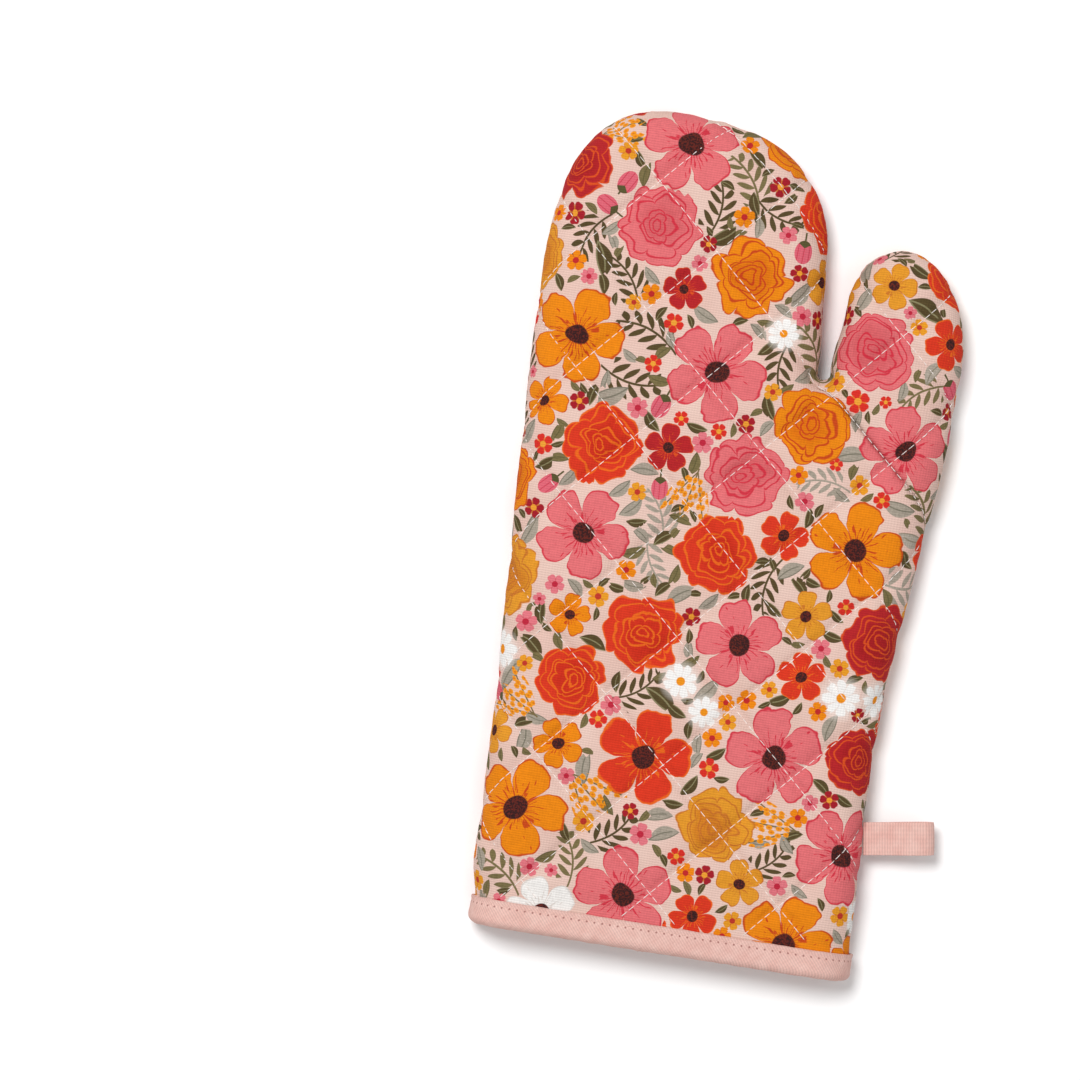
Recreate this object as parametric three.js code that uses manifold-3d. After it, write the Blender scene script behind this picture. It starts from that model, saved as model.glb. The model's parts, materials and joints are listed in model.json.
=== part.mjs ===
// A quilted cotton oven mitt, lying flat with its palm side up.
//
// The mitt is two sandwiches of cloth, the front (palm) and the back, sewn together round the hand.
// Each sandwich is an outer shell, a layer of batting and a lining, made here as nested dishes whose
// rims meet at the side seam. The hand pocket and the thumb pocket are the space between the two
// linings. A binding is folded over the raw edge of the mouth and held by a line of stitching, and a
// hanging loop of the same tape is caught in the side seam.
//
// Cloth has no hinge, so each layer is cut where the mitt folds in use: across the knuckles and
// across the root of the thumb. Both folds turn about the palm's surface, which is the inside of the
// bend, so the cut opens as the mitt closes round a dish.
//
// Millimetres. +Y runs from the mouth to the fingertips, +Z is up, and the thumb is on the +X side.

import * as THREE from "three";
import { mergeVertices } from "three/addons/utils/BufferGeometryUtils.js";
import Module from "manifold-3d";

const wasm = await Module();
wasm.setup();

// Outline of the sewn edge, from above.
const LENGTH = 320; // mouth to fingertips
const CUFF_WIDTH = 146; // across the mouth, seam to seam
const OUTER_FLARE = 2.4; // finger-side seam, out from the binding just above it
const INNER_TUCK = 1.7; // thumb-side seam, in from the binding just above it
const WRIST_TUCK = 3.2; // thumb-side seam, in from the binding at the wrist
const FINGER_WIDTH = 108; // across the finger pocket
const FINGER_LENGTH = 93; // crotch to fingertips
const FINGER_PEAK = 46; // highest point of the fingertips, in from their outer side
const FINGER_DROP_OUTER = 64; // fingertips down to where the outer side runs straight
const FINGER_DROP_INNER = 58; // the same on the thumb side
const FINGER_SQUARENESS = 0.72; // of the fingertip corners: 0.55 is round, 1 is square
const THUMB_WIDTH = 47;
const THUMB_LENGTH = 54; // crotch to thumb tip
const THUMB_PEAK = 0.4 * THUMB_WIDTH; // highest point of the thumb, in from its inner side
const THUMB_DROP_INNER = 0.49 * THUMB_WIDTH;
const THUMB_DROP_OUTER = 0.96 * THUMB_WIDTH;
const THUMB_SQUARENESS = 0.58;
const CROTCH_X = 28; // bottom of the crotch, from the middle of the mouth
const CROTCH_RADIUS = 2.4;
const FINGER_SET_BACK = 4.5; // finger side, left of the crotch
const THUMB_SET_BACK = 5.2; // thumb side, right of the crotch

// Layers, from the outside in.
const SHELL = 0.7;
const BATTING = 3.2;
const LINING = 0.6;
const CLEARANCE = 0.3; // between cloth faces that touch
const FRONT_RISE = 14; // palm side, above the seam
const BACK_RISE = 10; // back, below the seam
const FRONT_ROLL = 0.32 * THUMB_WIDTH; // width of the rolled edge, small enough to go round the thumb
const BACK_ROLL = 0.8 * FRONT_ROLL;

// Binding and its stitching.
const TAPE = 1; // folded binding tape, one leg
const BINDING_DEPTH = 10.8; // mouth edge to the binding's upper edge
const STITCH_INSET = 1.8; // upper edge to the line of stitching
const THREAD = 0.45;
const THREAD_CLEARANCE = 0.1;
const CUFF_RAMP = 16; // length over which the back eases from the binding's pinch to full depth

// Hanging loop.
const LOOP_LENGTH = 27.5; // seam to the end of the loop
const LOOP_WIDTH = 12.7;
const LOOP_PLY = 1.2;
const LOOP_EYE = 6; // clear height of the eye
const LOOP_Y = 55.2; // mouth to the middle of the loop, at the seam
const LOOP_TILT = 9; // degrees, towards the fingertips
const LOOP_TAIL = 8; // length caught in the seam allowance

// Folds.
const FOLD_GAP = 0.4;
const FINGER_FOLD = 20; // crotch to the finger fold
const THUMB_FOLD = 13; // crotch to the thumb fold
const THUMB_FOLD_TILT = -25; // degrees, from the mouth's own direction

const LAYER_DEPTH = SHELL + BATTING + LINING + 2 * CLEARANCE;
const LAYER_START = TAPE + CLEARANCE; // the raw edges stop short of the binding's fold
const CUFF_TOP = BINDING_DEPTH + CLEARANCE;
const CUFF_PINCH = TAPE + CLEARANCE; // lets the binding lie level with the back
const SEAM_Z = BACK_RISE + CLEARANCE / 2;
const CROTCH_Y = LENGTH - FINGER_LENGTH;
const TALL = 4 * (FRONT_RISE + BACK_RISE); // taller than the mitt, for cutters
const WIDE = 2 * LENGTH; // wider than the mitt, for cutters
const RING_COUNT = 5;
const TURN_STEP = 15; // degrees of turn along the outline, per segment
const LENGTH_STEP = 40; // or length, whichever is less
const CURVE_STEPS = 8;
const WELD = 1e-3;

const FRONT = { sign: 1, rise: FRONT_RISE, roll: FRONT_ROLL, pinch: 0 };
const BACK = { sign: -1, rise: BACK_RISE, roll: BACK_ROLL, pinch: CUFF_PINCH };

// ---------------------------------------------------------------- outline

// One quarter of a rounded end, from a side to its peak or from the peak to a side.
function roundedCorner(path, from, to, squareness, sideFirst) {
  const [dx, dy] = [to.x - from.x, to.y - from.y];
  const near = sideFirst ? [0, dy * squareness] : [dx * squareness, 0];
  const far = sideFirst ? [-dx * squareness, 0] : [0, -dy * squareness];
  path.bezierCurveTo(from.x + near[0], from.y + near[1], to.x + far[0], to.y + far[1], to.x, to.y);
}

// The sewn edge, from the mouth's outer corner, over fingers, crotch and thumb, to its inner corner.
function sewnEdge() {
  const half = CUFF_WIDTH / 2;
  const rampTop = CUFF_TOP + CUFF_RAMP;
  const fingerRight = CROTCH_X - FINGER_SET_BACK;
  const fingerLeft = fingerRight - FINGER_WIDTH;
  const thumbLeft = CROTCH_X + THUMB_SET_BACK;
  const thumbRight = thumbLeft + THUMB_WIDTH;
  const thumbTop = CROTCH_Y + THUMB_LENGTH;
  const fingerTip = new THREE.Vector2(fingerLeft + FINGER_PEAK, LENGTH);
  const fingerOuter = new THREE.Vector2(fingerLeft, LENGTH - FINGER_DROP_OUTER);
  const fingerInner = new THREE.Vector2(fingerRight, LENGTH - FINGER_DROP_INNER);
  const thumbTip = new THREE.Vector2(thumbLeft + THUMB_PEAK, thumbTop);
  const thumbInner = new THREE.Vector2(thumbLeft, thumbTop - THUMB_DROP_INNER);
  const thumbOuter = new THREE.Vector2(thumbRight, thumbTop - THUMB_DROP_OUTER);
  const crotchTop = CROTCH_Y + CROTCH_RADIUS;
  const wrist = new THREE.Vector2(half - WRIST_TUCK, (rampTop + thumbOuter.y) / 3);
  const aboveOuter = new THREE.Vector2(-half - OUTER_FLARE, rampTop);
  const aboveInner = new THREE.Vector2(half - INNER_TUCK, rampTop);
  const sideReach = (fingerOuter.y - rampTop) / 3;
  const wristReach = (thumbOuter.y - wrist.y) / 3;

  const path = new THREE.Path();
  path.moveTo(-half, LAYER_START);
  path.lineTo(-half, CUFF_TOP);
  path.lineTo(aboveOuter.x, aboveOuter.y);
  path.bezierCurveTo(
    aboveOuter.x, rampTop + sideReach, fingerLeft, fingerOuter.y - sideReach, fingerOuter.x, fingerOuter.y,
  );
  roundedCorner(path, fingerOuter, fingerTip, FINGER_SQUARENESS, true);
  roundedCorner(path, fingerTip, fingerInner, FINGER_SQUARENESS, false);
  path.bezierCurveTo(
    fingerRight, (fingerInner.y + crotchTop) / 2, CROTCH_X - CROTCH_RADIUS, (fingerInner.y + crotchTop) / 2,
    CROTCH_X - CROTCH_RADIUS, crotchTop,
  );
  path.absarc(CROTCH_X, crotchTop, CROTCH_RADIUS, Math.PI, 2 * Math.PI);
  path.bezierCurveTo(
    CROTCH_X + CROTCH_RADIUS, (thumbInner.y + crotchTop) / 2, thumbLeft, (thumbInner.y + crotchTop) / 2,
    thumbInner.x, thumbInner.y,
  );
  roundedCorner(path, thumbInner, thumbTip, THUMB_SQUARENESS, true);
  roundedCorner(path, thumbTip, thumbOuter, THUMB_SQUARENESS, false);
  path.bezierCurveTo(
    thumbRight, thumbOuter.y - wristReach, wrist.x, wrist.y + wristReach, wrist.x, wrist.y,
  );
  const lowReach = (wrist.y + rampTop) / 2;
  path.bezierCurveTo(wrist.x, lowReach, aboveInner.x, lowReach, aboveInner.x, aboveInner.y);
  path.lineTo(half, CUFF_TOP);
  path.lineTo(half, LAYER_START);
  return path;
}

// How many segments a curve needs for its turn and its length.
function segments(curve) {
  const probes = 16;
  let turn = 0;
  for (let k = 0; k < probes; k++) {
    turn += curve.getTangent(k / probes).angleTo(curve.getTangent((k + 1) / probes));
  }
  return Math.max(1, Math.ceil(THREE.MathUtils.radToDeg(turn) / TURN_STEP),
    Math.ceil(curve.getLength() / LENGTH_STEP));
}

// The sewn edge as points, each with its normal into the mitt.
function edgePoints() {
  const curves = sewnEdge().curves.filter((curve) => curve.getLength() > CLEARANCE);
  const points = curves.flatMap((curve, k) =>
    curve.getPoints(curve.isLineCurve ? 1 : segments(curve)).slice(k ? 1 : 0));
  return points.map((point, i) => {
    const along = new THREE.Vector2();
    if (i > 0) along.add(point.clone().sub(points[i - 1]).normalize());
    if (i < points.length - 1) along.add(points[i + 1].clone().sub(point).normalize());
    along.normalize();
    return { point, inward: new THREE.Vector2(along.y, -along.x) };
  });
}

const EDGE = edgePoints();

// ---------------------------------------------------------------- solids

// A manifold solid from points and triangles, turned to face outwards.
function solidFrom(points, triangles) {
  const volume = triangles.reduce((sum, [a, b, c]) =>
    sum + points[a].dot(points[b].clone().cross(points[c])), 0);
  const facing = volume < 0 ? triangles.map(([a, b, c]) => [a, c, b]) : triangles;
  return new wasm.Manifold(new wasm.Mesh({
    numProp: 3,
    vertProperties: new Float32Array(points.flatMap((p) => p.toArray())),
    triVerts: new Uint32Array(facing.flat()),
  }));
}

// A manifold solid from a three.js geometry, placed by a matrix.
function solidOf(geometry, matrix = new THREE.Matrix4()) {
  const bare = new THREE.BufferGeometry();
  bare.setAttribute("position", geometry.getAttribute("position").clone());
  if (geometry.index) bare.setIndex(geometry.index.clone());
  const merged = mergeVertices(bare.applyMatrix4(matrix), WELD);
  return new wasm.Manifold(new wasm.Mesh({
    numProp: 3,
    vertProperties: merged.attributes.position.array,
    triVerts: new Uint32Array(merged.index.array),
  }));
}

function geometryOf(solid) {
  const mesh = solid.getMesh();
  const position = new Float32Array(mesh.numVert * 3);
  for (let i = 0; i < mesh.numVert; i++) {
    position.set(mesh.vertProperties.subarray(i * mesh.numProp, i * mesh.numProp + 3), i * 3);
  }
  return new THREE.BufferGeometry()
    .setAttribute("position", new THREE.BufferAttribute(position, 3))
    .setIndex(new THREE.BufferAttribute(mesh.triVerts, 1));
}

// ---------------------------------------------------------------- layers

// The rolled edge is a quarter of an ellipse: ring 0 is at the seam and the last is at full height.
const ringShare = (ring) => 1 - Math.cos((ring / RING_COUNT) * (Math.PI / 2));
const ringHeight = (ring) => Math.sin((ring / RING_COUNT) * (Math.PI / 2));

// How much of the binding's pinch is left at this distance from the mouth.
const pinchShare = (y) => THREE.MathUtils.clamp((CUFF_TOP + CUFF_RAMP - y) / CUFF_RAMP, 0, 1);

// One face of a layer: rings that step in from the sewn edge, at this depth below the outside.
function layerFace(side, depth) {
  const points = [];
  for (let ring = 0; ring <= RING_COUNT; ring++) {
    const inset = depth + ringShare(ring) * (side.roll - depth);
    for (const { point, inward } of EDGE) {
      const rise = (side.rise - side.pinch * pinchShare(point.y) - depth) * ringHeight(ring);
      points.push(new THREE.Vector3(
        point.x + inward.x * inset,
        point.y + inward.y * inset,
        SEAM_Z + side.sign * (CLEARANCE / 2 + rise),
      ));
    }
  }
  return points;
}

// Triangles that join the rings, and fill the flat middle inside the last one.
function layerTriangles(face) {
  const count = EDGE.length;
  const at = (ring, i) => ring * count + i;
  const triangles = [];
  const quad = (a, b, c, d) => triangles.push([a, b, c], [a, c, d]);
  for (let ring = 0; ring < RING_COUNT; ring++) {
    for (let i = 0; i < count - 1; i++) {
      quad(at(ring, i), at(ring, i + 1), at(ring + 1, i + 1), at(ring + 1, i));
    }
  }
  const last = (i) => at(RING_COUNT, i);
  quad(last(0), last(1), last(count - 2), last(count - 1)); // under the binding
  quad(last(1), last(2), last(count - 3), last(count - 2)); // the ramp above it
  const rest = Array.from({ length: count - 4 }, (_, k) => k + 2);
  const flat = rest.map((i) => new THREE.Vector2(face[last(i)].x, face[last(i)].y));
  for (const [a, b, c] of THREE.ShapeUtils.triangulateShape(flat, [])) {
    const turn = flat[b].clone().sub(flat[a]).cross(flat[c].clone().sub(flat[a]));
    const corners = turn < 0 ? [a, b, c] : [a, c, b];
    triangles.push(corners.map((k) => last(rest[k])));
  }
  return triangles;
}

// A whole layer, from its outer face to its inner one, with a rim at the seam and a cut at the mouth.
function layer(side, outerDepth, thickness) {
  const count = EDGE.length;
  const outer = layerFace(side, outerDepth);
  const inner = layerFace(side, outerDepth + thickness);
  const skin = layerTriangles(outer);
  const rim = Array.from({ length: count }, (_, i) => i);
  const rings = Array.from({ length: RING_COUNT }, (_, k) => k + 1);
  const border = [
    ...rim,
    ...rings.map((ring) => ring * count + count - 1),
    ...rings.map((ring) => ring * count).reverse(),
  ];
  const walls = border.flatMap((a, k) => {
    const b = border[(k + 1) % border.length];
    return [[b, a, a + outer.length], [b, a + outer.length, b + outer.length]];
  });
  const back = skin.map(([a, b, c]) => [c + outer.length, b + outer.length, a + outer.length]);
  return solidFrom([...outer, ...inner], [...skin, ...back, ...walls]);
}

// ---------------------------------------------------------------- folds

const foldTilt = THREE.MathUtils.degToRad(THUMB_FOLD_TILT);
const THUMB_FOLD_ALONG = new THREE.Vector2(Math.cos(foldTilt), Math.sin(foldTilt));
const THUMB_FOLD_OUT = new THREE.Vector2(-THUMB_FOLD_ALONG.y, THUMB_FOLD_ALONG.x);
const THUMB_FOLD_AT = new THREE.Vector2(CROTCH_X, CROTCH_Y).addScaledVector(THUMB_FOLD_OUT, THUMB_FOLD);

// A tall prism over a polygon, for cutting.
function prism(corners) {
  const geometry = new THREE.ExtrudeGeometry(new THREE.Shape(corners), { depth: TALL, bevelEnabled: false });
  return solidOf(geometry, new THREE.Matrix4().makeTranslation(0, 0, SEAM_Z - TALL / 2));
}

// Everything past the finger fold on the finger side, moved by offset towards the fingertips.
function fingerRegion(offset) {
  const y = CROTCH_Y + FINGER_FOLD + offset;
  return prism([
    new THREE.Vector2(-WIDE, y), new THREE.Vector2(CROTCH_X, y),
    new THREE.Vector2(CROTCH_X, WIDE), new THREE.Vector2(-WIDE, WIDE),
  ]);
}

// Everything past the thumb fold on the thumb side, moved by offset towards the thumb tip.
function thumbRegion(offset) {
  const onFold = (x) => {
    const start = THUMB_FOLD_AT.clone().addScaledVector(THUMB_FOLD_OUT, offset);
    return new THREE.Vector2(x, start.y + (x - start.x) * Math.tan(foldTilt));
  };
  return prism([
    onFold(CROTCH_X), onFold(WIDE), new THREE.Vector2(WIDE, WIDE), new THREE.Vector2(CROTCH_X, WIDE),
  ]);
}

// ---------------------------------------------------------------- binding

// The mitt's section at the mouth, at this depth below its outside, as one closed loop of (x, z).
function mouthLoop(depth) {
  const half = CUFF_WIDTH / 2;
  const arc = (side, xSign, ring) => {
    const inset = depth + ringShare(ring) * (side.roll - depth);
    const rise = (side.rise - side.pinch - depth) * ringHeight(ring);
    const lift = ring ? CLEARANCE / 2 + rise : 0;
    return new THREE.Vector2(xSign * (half - inset), SEAM_Z + side.sign * lift);
  };
  const up = Array.from({ length: RING_COUNT + 1 }, (_, ring) => ring);
  const down = [...up].reverse();
  return [
    ...up.map((ring) => arc(FRONT, -1, ring)),
    ...down.map((ring) => arc(FRONT, 1, ring)),
    ...up.slice(1).map((ring) => arc(BACK, 1, ring)),
    ...down.slice(0, -1).map((ring) => arc(BACK, -1, ring)),
  ];
}

// A closed profile of (depth, y) points, carried round the mouth.
function roundTheMouth(profile) {
  const loops = profile.map(([depth, y]) =>
    mouthLoop(depth).map((p) => new THREE.Vector3(p.x, y, p.y)));
  const count = loops[0].length;
  const triangles = [];
  loops.forEach((_, k) => {
    const next = (k + 1) % loops.length;
    for (let i = 0; i < count; i++) {
      const j = (i + 1) % count;
      const [a, b, c, d] = [k * count + i, k * count + j, next * count + j, next * count + i];
      triangles.push([a, b, c], [a, c, d]);
    }
  });
  return solidFrom(loops.flat(), triangles);
}

const BINDING_OUTSIDE = -(CLEARANCE + TAPE);
const STITCH_Y = BINDING_DEPTH - STITCH_INSET;

function binding() {
  const inside = LAYER_DEPTH + CLEARANCE;
  const folded = roundTheMouth([
    [BINDING_OUTSIDE, TAPE], [BINDING_OUTSIDE, BINDING_DEPTH],
    [-CLEARANCE, BINDING_DEPTH], [-CLEARANCE, TAPE],
    [inside, TAPE], [inside, BINDING_DEPTH],
    [inside + TAPE, BINDING_DEPTH], [inside + TAPE, TAPE],
    [inside, 0], [-CLEARANCE, 0],
  ]);
  const reach = THREAD / 2 + THREAD_CLEARANCE;
  const groove = roundTheMouth([
    [BINDING_OUTSIDE - TAPE, STITCH_Y - reach], [BINDING_OUTSIDE - TAPE, STITCH_Y + reach],
    [BINDING_OUTSIDE + THREAD + THREAD_CLEARANCE, STITCH_Y + reach],
    [BINDING_OUTSIDE + THREAD + THREAD_CLEARANCE, STITCH_Y - reach],
  ]);
  return folded.subtract(groove);
}

function bindingStitching() {
  const reach = THREAD / 2;
  return roundTheMouth([
    [BINDING_OUTSIDE, STITCH_Y - reach], [BINDING_OUTSIDE, STITCH_Y + reach],
    [BINDING_OUTSIDE + THREAD, STITCH_Y + reach], [BINDING_OUTSIDE + THREAD, STITCH_Y - reach],
  ]);
}

// ---------------------------------------------------------------- hanging loop

const loopTilt = THREE.MathUtils.degToRad(LOOP_TILT);
const LOOP_ROOT = LOOP_PLY + CLEARANCE / 2; // half the thickness of the two plies together
const LOOP_STAND_OFF = LOOP_ROOT + CLEARANCE + (LOOP_WIDTH / 2) * Math.sin(loopTilt);

// Where the seam is at the loop, from the same outline that the layers use.
function seamXAt(y) {
  const side = EDGE.slice(EDGE.length / 2).map(({ point }) => point);
  const k = side.findIndex((point, i) => i > 0 && point.y <= y);
  const share = (y - side[k].y) / (side[k - 1].y - side[k].y);
  return THREE.MathUtils.lerp(side[k].x, side[k - 1].x, share);
}

// The loop's own frame: x runs out from its fold line, y across the tape, z up.
function loopFrame() {
  const out = new THREE.Vector3(Math.cos(loopTilt), Math.sin(loopTilt), 0);
  const up = new THREE.Vector3(0, 0, 1);
  return new THREE.Matrix4()
    .makeBasis(out, up.clone().cross(out), up)
    .setPosition(seamXAt(LOOP_Y) + LOOP_STAND_OFF * out.x, LOOP_Y + LOOP_STAND_OFF * out.y, SEAM_Z);
}

// The points of a closed curve, each one apart from the next.
function distinctPoints(path) {
  return path.getPoints(CURVE_STEPS).filter((point, i, all) => point.distanceTo(all.at(i - 1)) > WELD);
}

// A side view of the tape, extruded across its width.
function acrossTheTape(side, width = LOOP_WIDTH) {
  const shape = new THREE.Shape(distinctPoints(side));
  const geometry = new THREE.ExtrudeGeometry(shape, { depth: width, bevelEnabled: false });
  geometry.rotateX(Math.PI / 2).translate(0, width / 2, 0);
  return solidOf(geometry, loopFrame());
}

// Half the eye, or half the loop round it: straight at the root, a bulge, and a round end.
function teardrop(path, root, start, half, end) {
  const centre = end - half;
  const belly = (start + centre) / 2;
  path.moveTo(start, root);
  path.bezierCurveTo(belly, root, belly, half, centre, half);
  path.absarc(centre, 0, half, Math.PI / 2, -Math.PI / 2, true);
  path.bezierCurveTo(belly, -half, belly, -root, start, -root);
}

function hangingLoop() {
  const reach = LOOP_LENGTH - LOOP_STAND_OFF;
  const outside = new THREE.Shape();
  teardrop(outside, LOOP_ROOT, 0, LOOP_EYE / 2 + LOOP_PLY, reach);
  outside.absarc(0, 0, LOOP_ROOT, -Math.PI / 2, Math.PI / 2, true);
  const eye = new THREE.Shape();
  teardrop(eye, CLEARANCE / 2, LOOP_PLY, LOOP_EYE / 2, reach - LOOP_PLY);
  return acrossTheTape(outside).subtract(acrossTheTape(eye, 2 * LOOP_WIDTH));
}

// A slab in the seam, thicker and wider by the clearance where it is the pocket for the tail.
function seamSlab(clearance) {
  const outEnd = -(LOOP_ROOT + CLEARANCE);
  const inEnd = -(LOOP_STAND_OFF + LOOP_TAIL);
  const half = LOOP_ROOT + clearance;
  const slab = new THREE.Shape([
    new THREE.Vector2(inEnd - clearance, -half), new THREE.Vector2(outEnd + clearance, -half),
    new THREE.Vector2(outEnd + clearance, half), new THREE.Vector2(inEnd - clearance, half),
  ]);
  return acrossTheTape(slab, LOOP_WIDTH + 2 * clearance);
}

// ---------------------------------------------------------------- assembly

const cloth = (color, roughness) => new THREE.MeshStandardMaterial({ color, roughness, metalness: 0 });
const PRINTED_COTTON = cloth(0xe9c9bd, 0.9);
const PINK_TWILL = cloth(0xe8b3a8, 0.92);
const WADDING = cloth(0xf2efe8, 1);
const CREAM_LINING = cloth(0xf0e6da, 0.9);
const PINK_THREAD = cloth(0xe2a79c, 0.7);

const mitt = new THREE.Group();

function add(name, solid, material) {
  const mesh = new THREE.Mesh(geometryOf(solid), material);
  mesh.name = name;
  mitt.add(mesh);
}

const tailPocket = seamSlab(CLEARANCE);
const LAYERS = [
  { name: "shell", depth: 0, thickness: SHELL, material: PRINTED_COTTON },
  { name: "batting", depth: SHELL + CLEARANCE, thickness: BATTING, material: WADDING },
  { name: "lining", depth: LAYER_DEPTH - LINING, thickness: LINING, material: CREAM_LINING },
];

for (const [sideName, side] of [["front", FRONT], ["back", BACK]]) {
  for (const { name, depth, thickness, material } of LAYERS) {
    const whole = layer(side, depth, thickness);
    const palm = whole
      .subtract(fingerRegion(-FOLD_GAP / 2))
      .subtract(thumbRegion(-FOLD_GAP / 2))
      .subtract(tailPocket);
    add(`${sideName}_${name}_palm`, palm, material);
    add(`${sideName}_${name}_fingers`, whole.intersect(fingerRegion(FOLD_GAP / 2)), material);
    add(`${sideName}_${name}_thumb`, whole.intersect(thumbRegion(FOLD_GAP / 2)), material);
  }
}
add("cuff_binding", binding(), PINK_TWILL);
add("binding_stitching", bindingStitching(), PINK_THREAD);
add("hanging_loop", hangingLoop(), PINK_TWILL);
add("loop_tail", seamSlab(0), PINK_TWILL);

// The origin is under the middle of the mitt's box, on the table.
const box = new THREE.Box3().setFromObject(mitt);
const middle = box.getCenter(new THREE.Vector3());
mitt.position.set(-middle.x, -middle.y, -box.min.z);

const part = new THREE.Group();
part.add(mitt);

export default part;
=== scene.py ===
"""A quilted cotton oven mitt in printed floral cloth, with a bound mouth and a hanging loop.

The mitt is worked out in its own millimetres: X across the mouth from its middle, Y from the mouth to
the fingertips, Z up from the table. Each layer of cloth is a dish over the same outline, and the
quilting pulls all of them together along a square grid of stitched lines.
"""

import json
import math
from functools import partial, reduce

import bpy
import numpy as np
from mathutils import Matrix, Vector
from mathutils.geometry import delaunay_2d_cdt


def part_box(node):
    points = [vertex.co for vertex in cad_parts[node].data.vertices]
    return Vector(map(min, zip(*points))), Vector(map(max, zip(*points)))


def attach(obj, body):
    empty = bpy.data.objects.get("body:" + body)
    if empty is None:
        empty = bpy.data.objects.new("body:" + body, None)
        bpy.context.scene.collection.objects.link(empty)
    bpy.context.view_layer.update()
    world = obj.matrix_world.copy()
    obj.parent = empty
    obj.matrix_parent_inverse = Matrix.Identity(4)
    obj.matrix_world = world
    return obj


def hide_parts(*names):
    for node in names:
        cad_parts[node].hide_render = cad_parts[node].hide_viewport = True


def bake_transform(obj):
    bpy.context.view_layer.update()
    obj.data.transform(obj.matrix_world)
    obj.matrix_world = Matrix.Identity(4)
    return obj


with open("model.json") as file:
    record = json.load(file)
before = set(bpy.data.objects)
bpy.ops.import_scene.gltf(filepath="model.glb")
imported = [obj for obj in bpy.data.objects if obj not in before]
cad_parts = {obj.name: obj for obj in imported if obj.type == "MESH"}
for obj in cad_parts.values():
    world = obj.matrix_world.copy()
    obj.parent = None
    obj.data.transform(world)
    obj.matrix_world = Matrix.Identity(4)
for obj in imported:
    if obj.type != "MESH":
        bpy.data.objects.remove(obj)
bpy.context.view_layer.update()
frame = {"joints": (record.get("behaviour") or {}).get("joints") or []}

bl_info = {
    "name": "Quilted Oven Mitt",
    "version": (1, 0, 0),
    "blender": (4, 5, 0),
    "location": "3D View > Sidebar > Oven Mitt",
    "description": "Builds a quilted oven mitt with its print, binding, stitching and loop",
    "category": "Add Mesh",
}

# ---------------------------------------------------------------- sizes, in millimetres

BINDING_LOW, BINDING_HIGH = (np.array(corner) * 1000 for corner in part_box("cuff_binding"))
MOUTH = np.array([(BINDING_LOW[0] + BINDING_HIGH[0]) / 2, BINDING_LOW[1], 0.0])
LENGTH = 320.0
CUFF_HALF = 73.0  # half the mouth's width
SEAM_Z = 10.15  # the side seam's height over the table
FRONT_RISE, BACK_RISE = 14.15, 10.15  # from the seam out to each face
FRONT_ROLL, BACK_ROLL = 15.0, 12.0  # from the seam in to where each face is level
SEAM_GAP = 0.02  # between the two sides at the seam
CREASE_DEPTH, CREASE_REACH = 0.9, 0.8  # how the cloth turns into the seam
BINDING_DEPTH = 10.8
CLEAR_Y = 27.1  # past here the binding doesn't draw the cloth in
BACK_PINCH, PINCH_REACH = 1.3, 16.0  # how much flatter the back is at the mouth
LAYER_START = 1.3  # the layers' raw edge, inside the binding
FINGERS_LEFT, FINGERS_RIGHT = -84.5, 23.5
THUMB_LEFT, THUMB_RIGHT, THUMB_END = 33.2, 80.2, 281.0
CROTCH, CROTCH_RADIUS = np.array([28.0, 227.0]), 2.4
WRIST = np.array([69.8, 87.7])

QUILT_ORIGIN, QUILT_TURN = np.array([-9.6, 71.7]), math.radians(47.96)
RING_CROWDING = 1.25  # the roll's rings lie closer together at the seam
GRID_MARGIN = 0.55  # the grid keeps this share of a step from the roll
PUFF_REACH, GROOVE_REACH, PUCKER_REACH, SEAM_REACH = 3.6, 1.5, 5.0, 5.0
PUCKER_WAVE, SEAM_WAVE, BROAD_WAVE = 6.5, 5.0, 60.0
SEAM_PUCKER, BROAD_SHARE, BACK_PRESS = 0.7, 0.35, 0.7  # shares of the pucker and the puff
SEAM_PUCKER_START = 14.0
GRIP_START, GRIP_RAMP, SEAM_GRIP = 12.0, 10.0, 0.28  # the quilting fades in past the binding
TABLE_GAP = 0.05  # the table flattens the back's puffs
SHELL_THICKNESS, LINING_THICKNESS = 0.5, 0.5
SHELL_PUCKER, LINING_PUCKER = 0.28, 0.1
INNER_GROOVE = -0.6  # inside, the lines of quilting stand out
WADDING_TOP, WADDING_UNDER, LINING_TOP = 2.2, 4.3, 4.5  # depths below the outside
WADDING_PUFF = 0.9  # the wadding's share of the shell's puff

STITCH_BOW = np.array([-0.14, 0.13, 0.17, 0.13, -0.14])  # a stitch's height over the cloth
ROW_NUDGE = 1e-4  # moves a line of stitches off the mesh's own row of points
ROW_BREAK = 3.5  # a gap along a line this wide is off the cloth
SEWN_LIFT = 0.3  # stitches stop at this angle of the roll, by the seam

MOUTH_POINTS = 520  # round the mouth
TAPE_THICK, TAPE_DRAWN = 0.5, 0.2  # half the tape's thickness, and how far the stitching draws it in
FOLD_MIDDLE, FOLD_HALF = 2.55, 3.35  # the folded tape's middle below the outside, and half its depth
FOLD_START, FOLD_BULGE = 3.0, 2.5
BINDING_EDGE, SEW_DOWN = 0.45, 1.9  # the tape's edge and its stitching, below the binding's depth
BINDING_PITCH, BINDING_STITCH = 3.0, 2.45
BINDING_BOW = np.array([-0.22, 0.06, 0.12, 0.06, -0.22])
STITCH_ROW = 2.2  # from the tape's edge to its stitching, over the tape
HOLE_START = 2.725  # where the first hole of the binding's stitching lies
TAPE_JOIN, JOIN_SLANT = -6.6, 0.12  # where the binding's two ends are joined, and how it leans

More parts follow.
